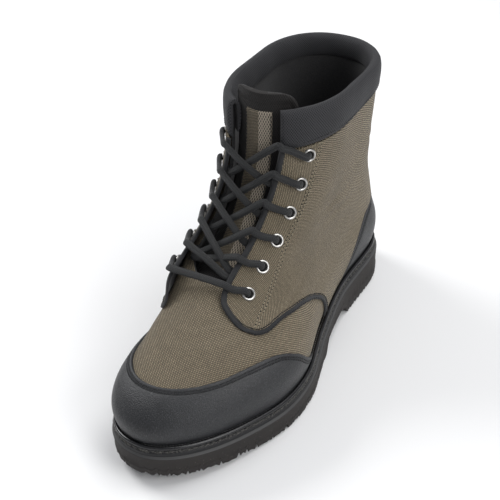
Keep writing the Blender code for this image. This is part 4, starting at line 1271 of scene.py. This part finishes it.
def strand(points, normals):
    """Points, faces and braid coordinates of an oval cord along a smooth line through the points."""
    both = smooth_line(np.concatenate([points, normals], axis=1), 110)
    line, up = both[:, :3], both[:, 3:]
    along = unit(np.gradient(line, axis=0))
    up = unit(up - along * (up * along).sum(axis=1)[:, None])
    turn = turns(16)
    wide = LACE_WIDTH / 2 * np.sign(np.cos(turn)) * np.abs(np.cos(turn)) ** 0.85
    tall = LACE_HEIGHT / 2 * np.sin(turn)
    loops = line[:, None] + np.cross(along, up)[:, None] * wide[:, None] + up[:, None] * tall[:, None]
    down = np.abs(np.mod(turn + math.pi / 2, 2 * math.pi) - math.pi) / math.pi
    return *tube(loops), pairs(run_of(line)[:, None], down)


def add_strands(name, runs, nodes):
    """Braided cords as one piece; each is a run of points with normals."""
    made = [strand(*run) for run in runs]
    uv = np.concatenate([part[2] for part in made])
    add_piece(name, *joined([part[:2] for part in made]), [CORD], uv, None, "lace_cord", nodes, 75)


def from_eyelet(pair, side):
    """Lace points out of an eyelet, over its ring and over the quarter's bound edge, with normals."""
    centre, inwards, _, normal = eyelet_axes(pair, side)
    around, level = eyelet_place(pair, side)
    points, normals = [], []
    for reach, rise, lean in ((0.0, -0.0012, 0.8), (0.0010, 0.0016, 0.5), (RING_BORE + 0.0010, 0.0030, 0.0)):
        points.append(centre + inwards * reach + normal * rise)
        normals.append(normal - inwards * lean)
    climb = LACE_CLIMB[side]
    edge = side * edge_at(level + climb, side)
    for share, rise in ((0.60, 0.0027), (0.94, 0.0042), (1.08, 0.0042)):
        place, height = around + (edge - around) * share, level + climb * share
        points.append(flap_top(place, height, side, rise))
        normals.append(outward(place, height))
    return np.array(points), np.array(normals)


def under_edge(pair, side):
    """Lace points that go under the quarter's edge next to an eyelet, with normals."""
    level = max(eyelet_place(pair, side)[1] + 0.3 * EYELET_STEP, THROAT_LEVEL + 0.8 * THROAT_ROUND)
    edge, out = side * edge_at(level, side), side * around_at(0.0030, level, 1)
    depth = UPPER_FACE + 0.35 * FLAP_RISE[side] - 0.0010
    return on_surface(np.array([(edge - out, level), (edge + out, level)]), [depth, depth - 0.0008])


def lace_run(first, middle, up, last):
    """Points and normals of a lace from one end over a middle point to the other end."""
    points = np.concatenate([first[0], [middle], last[0]])
    return points, np.concatenate([first[1], [up], last[1]])


def add_laces():
    """The straight bar over the lowest eyelets, then two crossed strands for each further pair."""
    near, far = (from_eyelet(0, side) for side in SIDES)
    middle = (near[0][-1] + far[0][-1]) / 2 + UP * 0.0002
    bar = lace_run(near, middle, (near[1][-1] + far[1][-1]) / 2, (far[0][::-1], far[1][::-1]))
    add_strands("lace_bar_cord", [bar], ["lace_bar"])
    for pair in range(1, EYELET_PAIRS):
        runs = []
        for side, rise in ((1, -0.0012), (-1, 0.0030)):
            over, under = from_eyelet(pair, side), under_edge(pair - 1, -side)
            up = unit(over[1][-1] + under[1][0])
            runs.append(lace_run(over, (over[0][-1] + under[0][0]) / 2 + up * rise, up, under))
        add_strands(f"lace_crossing_{pair}_cords", runs, [f"lace_crossing_{pair}"])


# Tongue, collar and insole


def tongue_point(across, level, height):
    """Point on the tongue: across is a length from the ridge, height is above its outer face."""
    room = CLEARANCE + LACE_ROOM * blend((level - TONGUE_ROOT - 0.02) / 0.07)
    loop = np.where(across >= 0, loop_length(level, 1), loop_length(level, -1))
    return surface(across / loop, level, UPPER_FACE - UPPER_WALL - room + height)


def tongue_sheet(across, levels, outer, inner):
    """A closed shell on the tongue between two heights, as sheet gives it."""
    level = np.broadcast_to(levels, across.shape)
    uv = pairs(across, level * LEVEL_LENGTH)
    return sheet(tongue_point(across, level, outer), tongue_point(across, level, inner), uv)


def add_tongue():
    """The padded tongue with a sunk seam line along its border."""
    ends = TONGUE_TOP - TONGUE_END * (1 - np.sin(np.linspace(0, math.pi / 2, 18)))
    levels = np.concatenate([np.linspace(TONGUE_ROOT, ends[0], 96)[:-1], ends])[:, None]
    share = np.linspace(-1, 1, 61)[None]
    width = TONGUE_HALF_WIDTH * (0.86 + 0.20 * blend((levels - TONGUE_ROOT) / 0.5))
    bend = np.clip((levels - TONGUE_TOP) / TONGUE_END + 1, 0, 1)
    width = width * (0.55 + 0.45 * np.sqrt(1 - 0.998 * bend**2.6))
    border = np.minimum(width * (1 - np.abs(share)), (TONGUE_TOP - levels) * LEVEL_LENGTH)
    seam = np.exp(-(((border - 0.0055) / 0.0012) ** 2))
    puff = 0.0008 * round_end(border / 0.004, 2.0) - 0.0009 * seam
    thin = 1 - 0.6 * np.abs(share) ** 4
    thickness = TONGUE_THICKNESS * (0.5 + 0.5 * blend((levels - TONGUE_ROOT) / 0.12)) * thin
    points, faces, uv, index = tongue_sheet(width * share, levels, puff - 0.0006, -thickness)
    cloths = [TONGUE_CLOTH, LINING]
    piece = add_piece("tongue_pad", points, faces, cloths, uv, index, "tongue_fabric", ["tongue"], 60)


def add_tongue_panel():
    """The woven panel down the tongue's middle, satin on one side and mesh on the other, with its seams."""
    levels = np.linspace(PANEL_FROM, PANEL_TO, 80)[:, None]
    share = np.linspace(-1, 1, 25)[None]
    across = PANEL_HALF_WIDTH * share * np.ones_like(levels)
    ends = np.minimum(levels - PANEL_FROM, PANEL_TO - levels) * LEVEL_LENGTH
    border = np.minimum(PANEL_HALF_WIDTH * (1 - np.abs(share)), ends)
    height = 0.0012 * round_end(border / 0.0010, 2.0)
    points, faces, uv, _ = tongue_sheet(across, levels, height, -0.0004)
    index = (uv[faces[:, 0], 0] > 0.0010).astype(int)
    add_piece("tongue_panel", points, faces, [SATIN, TAN_MESH], uv, index, "tongue_fabric")
    line = np.linspace(PANEL_FROM + 0.010, PANEL_TO - 0.010, 120)
    seams = []
    for place in (-0.0120, 0.0120):
        at = np.full(len(line), place)
        seams.append((tongue_point(at, line, 0.0011), outward(at / AROUND_LENGTH, line)))
    add_stitches("tongue_panel_seam", seams, SEAM_PITCH, 0.75, 0.00030, BLACK_THREAD, "tongue_fabric")


def add_collar():
    """The padded collar: it swells outside, rolls over the top edge and goes down a little inside."""
    level, height = COLLAR_SECTION.T
    count = 260
    start = LATERAL_QUARTER_EDGE["around"][0] + 0.004
    end = 2 - MEDIAL_QUARTER_EDGE["around"][0] - 0.004
    around = np.linspace(start, end, count)
    from_end = np.minimum(np.arange(count), np.arange(count)[::-1]) * 0.0009
    fade = round_end(from_end / 0.003, 2.0)[:, None]
    swell = np.where(height > 0, height * (0.5 + 0.5 * fade), height)
    wave = 1 + 0.05 * np.sin(around * 41.0)[:, None] * (np.abs(height) > 0.0025)
    base = UPPER_FACE + OVERLAY_GAP
    pad = tube(surface(around[:, None], level, base + swell * wave))
    uv = pairs(run_of(surface(around, 0.95))[:, None], run_of(pairs(level * LEVEL_LENGTH, height)))
    piece = add_piece("collar_pad", *pad, [COLLAR_CLOTH], uv, None, "collar_fabric", ["collar_band"], 60)
    seams = [on_surface(pairs(np.linspace(start + 0.01, end - 0.01, 500), 0.9035), base + 0.0029)]
    add_stitches("collar_seam", seams, SEAM_PITCH, 0.78, 0.00032, BLACK_THREAD, "collar_fabric")


def dress_insole():
    """The footbed keeps its solid and gets cloth."""
    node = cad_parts["insole"]
    node.data.materials.clear()
    node.data.materials.append(FOOTBED)


# Sole


def welt_ring(reach, height):
    """Loop around the midsole at a reach from the featherline and a height over it."""
    return outline_ring(reach, -height, WELT_STATIONS)


def closed_loop(ring):
    """A loop with its first point again at the end."""
    return np.concatenate([ring, ring[:1]])


def add_welt():
    """The midsole: a thin lip against the upper, a shiny bead, the stitch groove and the flat side band."""
    foot = -MIDSOLE_THICKNESS - 0.0002
    bend = np.radians(np.arange(165, -31, -15))
    lip = [(-0.0060, -0.0003), (0.00105, -0.0003), (0.00110, 0.0006), (0.00122, 0.0010), (0.00142, 0.0010)]
    bead = [(0.0031 + 0.00162 * math.cos(b), 0.0003 + 0.00165 * math.sin(b)) for b in bend]
    bead.insert(0, (0.00148, 0.0006))
    band = [
        (0.00440, -0.0009), (0.00436, -0.0016), (0.00452, -0.0024), (0.00490, -0.0029), (0.00520, -0.0031),
        (0.00530, -0.0034), (0.00530, -MIDSOLE_THICKNESS * 0.8), (0.00530, foot), (-0.0120, foot),
        (-0.0120, -0.0003),
    ]
    points, faces = ring_mesh(np.array([welt_ring(*place) for place in lip + bead + band]))
    index = np.repeat([1, 0, 1], np.array([len(lip), len(bead), len(band)]) * (2 * WELT_STATIONS))
    rubbers = [BEAD_RUBBER, BAND_RUBBER]
    add_piece("midsole_welt_band", points, faces, rubbers, None, index, "welt_rubber", ["midsole_welt"], 50)
    ring = closed_loop(welt_ring(0.00132, 0.0010))
    seam = [(ring, np.broadcast_to(UP, ring.shape))]
    add_stitches("welt_lip_stitches", seam, LIP_PITCH, 0.62, 0.00020, LIP_THREAD, "welt_rubber")


def add_fluff():
    """The welt's coarse stitches in their groove: frayed bundles of short fibres."""
    chance = np.random.default_rng(12)
    ring = evenly(closed_loop(welt_ring(0.0048, -0.0018)), 2400)
    length = run_of(ring)[-1]
    along = unit(np.gradient(ring, axis=0))
    out = np.cross(along, UP)
    fibres = []
    for stitch in np.repeat(np.arange(int(length / FLUFF_PITCH)), FIBRES):
        at = (stitch + chance.uniform(0.08, 0.92)) * FLUFF_PITCH
        k = int(np.clip(at / length * len(ring), 0, len(ring) - 1))
        drop = chance.normal(0, 0.00045)
        middle = ring[k] + out[k] * (chance.uniform(-0.0001, 0.0003) - 0.4 * drop) + UP * drop
        way = along[k] * chance.uniform(0.5, 1.0) + out[k] * chance.normal(0, 0.30)
        way += UP * chance.normal(0, 0.50)
        way *= chance.uniform(0.0006, 0.0012) / np.linalg.norm(way)
        bend = UP * chance.uniform(0.0, 0.00035)
        thick = chance.uniform(0.00006, 0.00012)
        side = unit(np.cross(way, UP)) * thick
        section = np.array([side, UP * thick, -side, -UP * thick])
        fibres.append(tube(np.array([middle - way, middle + bend, middle + way])[:, None] + section))
    add_piece("welt_stitch_fluff", *joined(fibres), [WELT_THREAD], None, None, "welt_rubber", sharp=80)


def rim_loop(reach):
    """Plan loop around the sole, evenly spaced by length."""
    return evenly(closed_loop(outline_ring(reach, 0.0, 400))[:, :2], RIM_STATIONS + 1)[:-1]


def worn_edge(length):
    """Height of the lugs' lower edge along the rim: uneven lugs of torn rubber between sharp notches."""
    chance = np.random.default_rng(7)
    places, heights = [0.0], [0.0]
    at = 0.0
    while at < length - 0.016:
        size = chance.uniform(0.0062, 0.0150)
        for step in np.arange(0.0020, size - 0.0020, 0.0019):
            places.append(at + step + chance.uniform(-0.0005, 0.0005))
            heights.append(chance.uniform(0.0, 0.0014) + (0.0014 if chance.uniform() < 0.20 else 0.0))
        half, depth = chance.uniform(0.0008, 0.0030), chance.uniform(0.0030, 0.0052)
        places += [at + size - half, at + size, at + size + 0.4 * half]
        heights += [chance.uniform(0.0, 0.0004), depth, chance.uniform(0.0, 0.0004)]
        at += size + 0.0006
    return np.interp(np.linspace(0, length, RIM_STATIONS + 1)[:-1], places, heights)


def rim_heights(worn):
    """Reach beyond the lip, and height as a function of x, of each loop from the sole's top down."""
    top = MIDSOLE_THICKNESS + CLEARANCE
    side_top = top + LIP_CHAMFER

    def under(drop):
        """Heights a drop below the featherline."""
        return lambda x: feather_height(x) - drop

    def foot(shift, share, rise=0.0):
        """Heights a share of the way down to the torn edge, which is shifted along the rim."""
        def height(x):
            arch = arch_share(x, 0.006, 0.010)
            low = ground_height(x) + np.roll(worn, shift) * (1 - 0.7 * arch)
            low = low + (tread_base(x) - ground_height(x)) * arch + rise
            return between(feather_height(x) - side_top - 0.0012, low, share)
        return height

    return [
        (-0.0120 - LIP_REACH, under(top)), (MIDSOLE_REACH + 0.0002 - LIP_REACH, under(top)),
        (-0.0002, under(side_top - 0.0002)), (0.0, under(side_top)), (-0.0001, under(side_top + 0.0005)),
        (-0.0004, foot(0, 0.25)), (-0.0006, foot(0, 0.62)), (-0.0003, foot(0, 0.66)),
        (-0.0005, foot(0, 0.90)), (-0.0009, foot(0, 1.0)), (-0.0040, foot(2, 1.0)),
        (-0.0150, foot(7, 1.0, 0.0004)), (-0.0162, tread_base),
    ]


def middle_bars():
    """The bars in the middle of the tread as blocks, a little narrower at the ground."""
    fore = np.arange(FOREPART_START + 0.012, SOLE_LENGTH - 0.045, BAR_PITCH)
    heel = np.arange(0.026, HEEL_BREAST - 0.018, BAR_PITCH)
    from_edge, from_middle, sweep = 0.0125, 0.0025, 0.0045
    bars = []
    for x in [*fore, *heel]:
        lateral, medial = (side_line(x, feather_height(x), side) - side * from_edge for side in SIDES)
        centre, room = (lateral + medial) / 2, (lateral - medial) / 2
        if room < 0.010:
            continue
        for side in SIDES:
            near, far = centre + side * from_middle, centre + side * room
            outline = np.array([
                (x - BAR_LENGTH / 2 + sweep, near), (x + BAR_LENGTH / 2 + sweep, near),
                (x + BAR_LENGTH / 2 - sweep, far), (x - BAR_LENGTH / 2 - sweep, far),
            ])
            foot = between(outline.mean(axis=0), outline, 0.93)
            root = tread_base(outline[:, 0]).max() + 0.0020
            levels = ((outline, root), (foot, ground_height(x)))
            loops = [np.column_stack([plan, np.full(4, height)]) for plan, height in levels]
            bars.append(tube(np.array(loops)))
    return bars


def add_outsole():
    """The outsole: a chamfered lip, the sidewall down to a torn edge, and the bars of the tread."""
    worn = worn_edge(run_of(closed_loop(rim_loop(LIP_REACH)))[-1])
    rings = []
    for reach, height in rim_heights(worn):
        loop = rim_loop(LIP_REACH + reach)
        rings.append(np.column_stack([loop, height(loop[:, 0])]))
    points, faces = ring_mesh(np.array(rings))
    faces = faces[:-RIM_STATIONS]
    number = np.arange(len(points)).reshape(len(rings), RIM_STATIONS)
    for ring in (number[0], number[-1]):
        for k in range(RIM_STATIONS // 2):
            loop = [ring[k], ring[k + 1], ring[-(k + 1)], ring[-k] if k else ring[0]]
            faces.append(list(dict.fromkeys(int(n) for n in loop)))
    points, faces = joined([(points, faces), *middle_bars()])
    index = np.ones(len(faces), int)
    # The chamfer's band gets the lighter rubber, a painted highlight
    index[RIM_STATIONS:2 * RIM_STATIONS] = 0
    rubbers = [CHAMFER_RUBBER, SIDE_RUBBER]
    add_piece("outsole_body", points, faces, rubbers, None, index, "sole_rubber", ["outsole"], 30)


# Studio

# The photograph's viewpoint: its angles, the point that it looks at in shoe coordinates and its distance
ELEVATION = math.radians(43.15)
HEADING = math.radians(34.83)
ROLL = math.radians(-2.97)
TARGET = np.array([0.2377, -0.0025, 0.0400])
DISTANCE = 0.750

# The point in the middle of the picture of the whole boot, and half the angle of view
AIM = np.array([-0.0063, -0.0153, 0.0892])
HALF_VIEW = math.radians(13.6)

# Name, place, aim, size and power of each light
LIGHTS = (
    ("key", (-0.15, -1.25, 1.15), (0.0, 0.0, 0.05), 0.8, 17.0),
    ("top", (-0.45, 0.35, 1.55), (0.0, 0.0, 0.05), 1.0, 12.0),
    ("fill", (0.3, 1.4, 1.0), (0.0, 0.0, 0.08), 1.0, 14.0),
)
FLOOR_HALF_SIZE = 4.0


def add_floor():
    """The pale paper that the boot stands on."""
    mesh = bpy.data.meshes.new("floor")
    corners = np.array([(-1, -1, 0), (1, -1, 0), (1, 1, 0), (-1, 1, 0)]) * FLOOR_HALF_SIZE
    mesh.from_pydata(corners.tolist(), [], [(0, 1, 2, 3)])
    shader = Shader("floor_paper", Specular_IOR_Level=0.15)
    tone = shader.mix(shader.noise(3.0, 2.0, 0.5), rgb(0.82, 0.82, 0.82), rgb(0.85, 0.85, 0.85))
    mesh.materials.append(shader.done(tone, 0.85))
    floor = bpy.data.objects.new("floor", mesh)
    bpy.context.collection.objects.link(floor)


def add_light(name, place, aim, size, power):
    """A round area light, turned towards a point."""
    data = bpy.data.lights.new(name, "AREA")
    data.shape = "DISK"
    data.size = size
    data.energy = power
    light = bpy.data.objects.new(name, data)
    light.location = place
    light.rotation_euler = (Vector(aim) - Vector(place)).to_track_quat("-Z", "Y").to_euler()
    bpy.context.collection.objects.link(light)


def add_camera():
    """The photograph's viewpoint, turned and widened to take in the whole boot."""
    flat = math.cos(ELEVATION)
    back = np.array([math.cos(HEADING) * flat, math.sin(HEADING) * flat, math.sin(ELEVATION)])
    place = TARGET - ORIGIN + back * DISTANCE
    look = unit(AIM - place)
    right = unit(np.cross(look, UP))
    up = np.cross(right, look)
    across = math.cos(ROLL) * right + math.sin(ROLL) * up
    top = -math.sin(ROLL) * right + math.cos(ROLL) * up
    data = bpy.data.cameras.new("camera")
    data.sensor_width = 36.0
    data.lens = data.sensor_width / 2 / math.tan(HALF_VIEW)
    data.clip_start = 0.01
    camera = bpy.data.objects.new("camera", data)
    camera.matrix_world = Matrix.Translation(place) @ Matrix((across, top, -look)).transposed().to_4x4()
    bpy.context.collection.objects.link(camera)
    bpy.context.scene.camera = camera


def add_studio():
    """Pale floor and backdrop, a broad key light from the upper left and soft fills."""
    add_floor()
    world = bpy.data.worlds.new("studio")
    world.use_nodes = True
    world.node_tree.nodes["Background"].inputs["Color"].default_value = rgb(0.93, 0.95, 1.0)
    world.node_tree.nodes["Background"].inputs["Strength"].default_value = 0.40
    bpy.context.scene.world = world
    for light in LIGHTS:
        add_light(*light)
    bpy.context.scene.view_settings.view_transform = "Standard"
    add_camera()


add_studio()
add_upper()
add_cap_and_counter()
for foot_side in SIDES:
    add_quarter(foot_side)
    add_binding(foot_side)
    add_eyelets(foot_side)
add_laces()
add_tongue()
add_tongue_panel()
add_collar()
add_welt()
add_fluff()
add_outsole()
dress_insole()
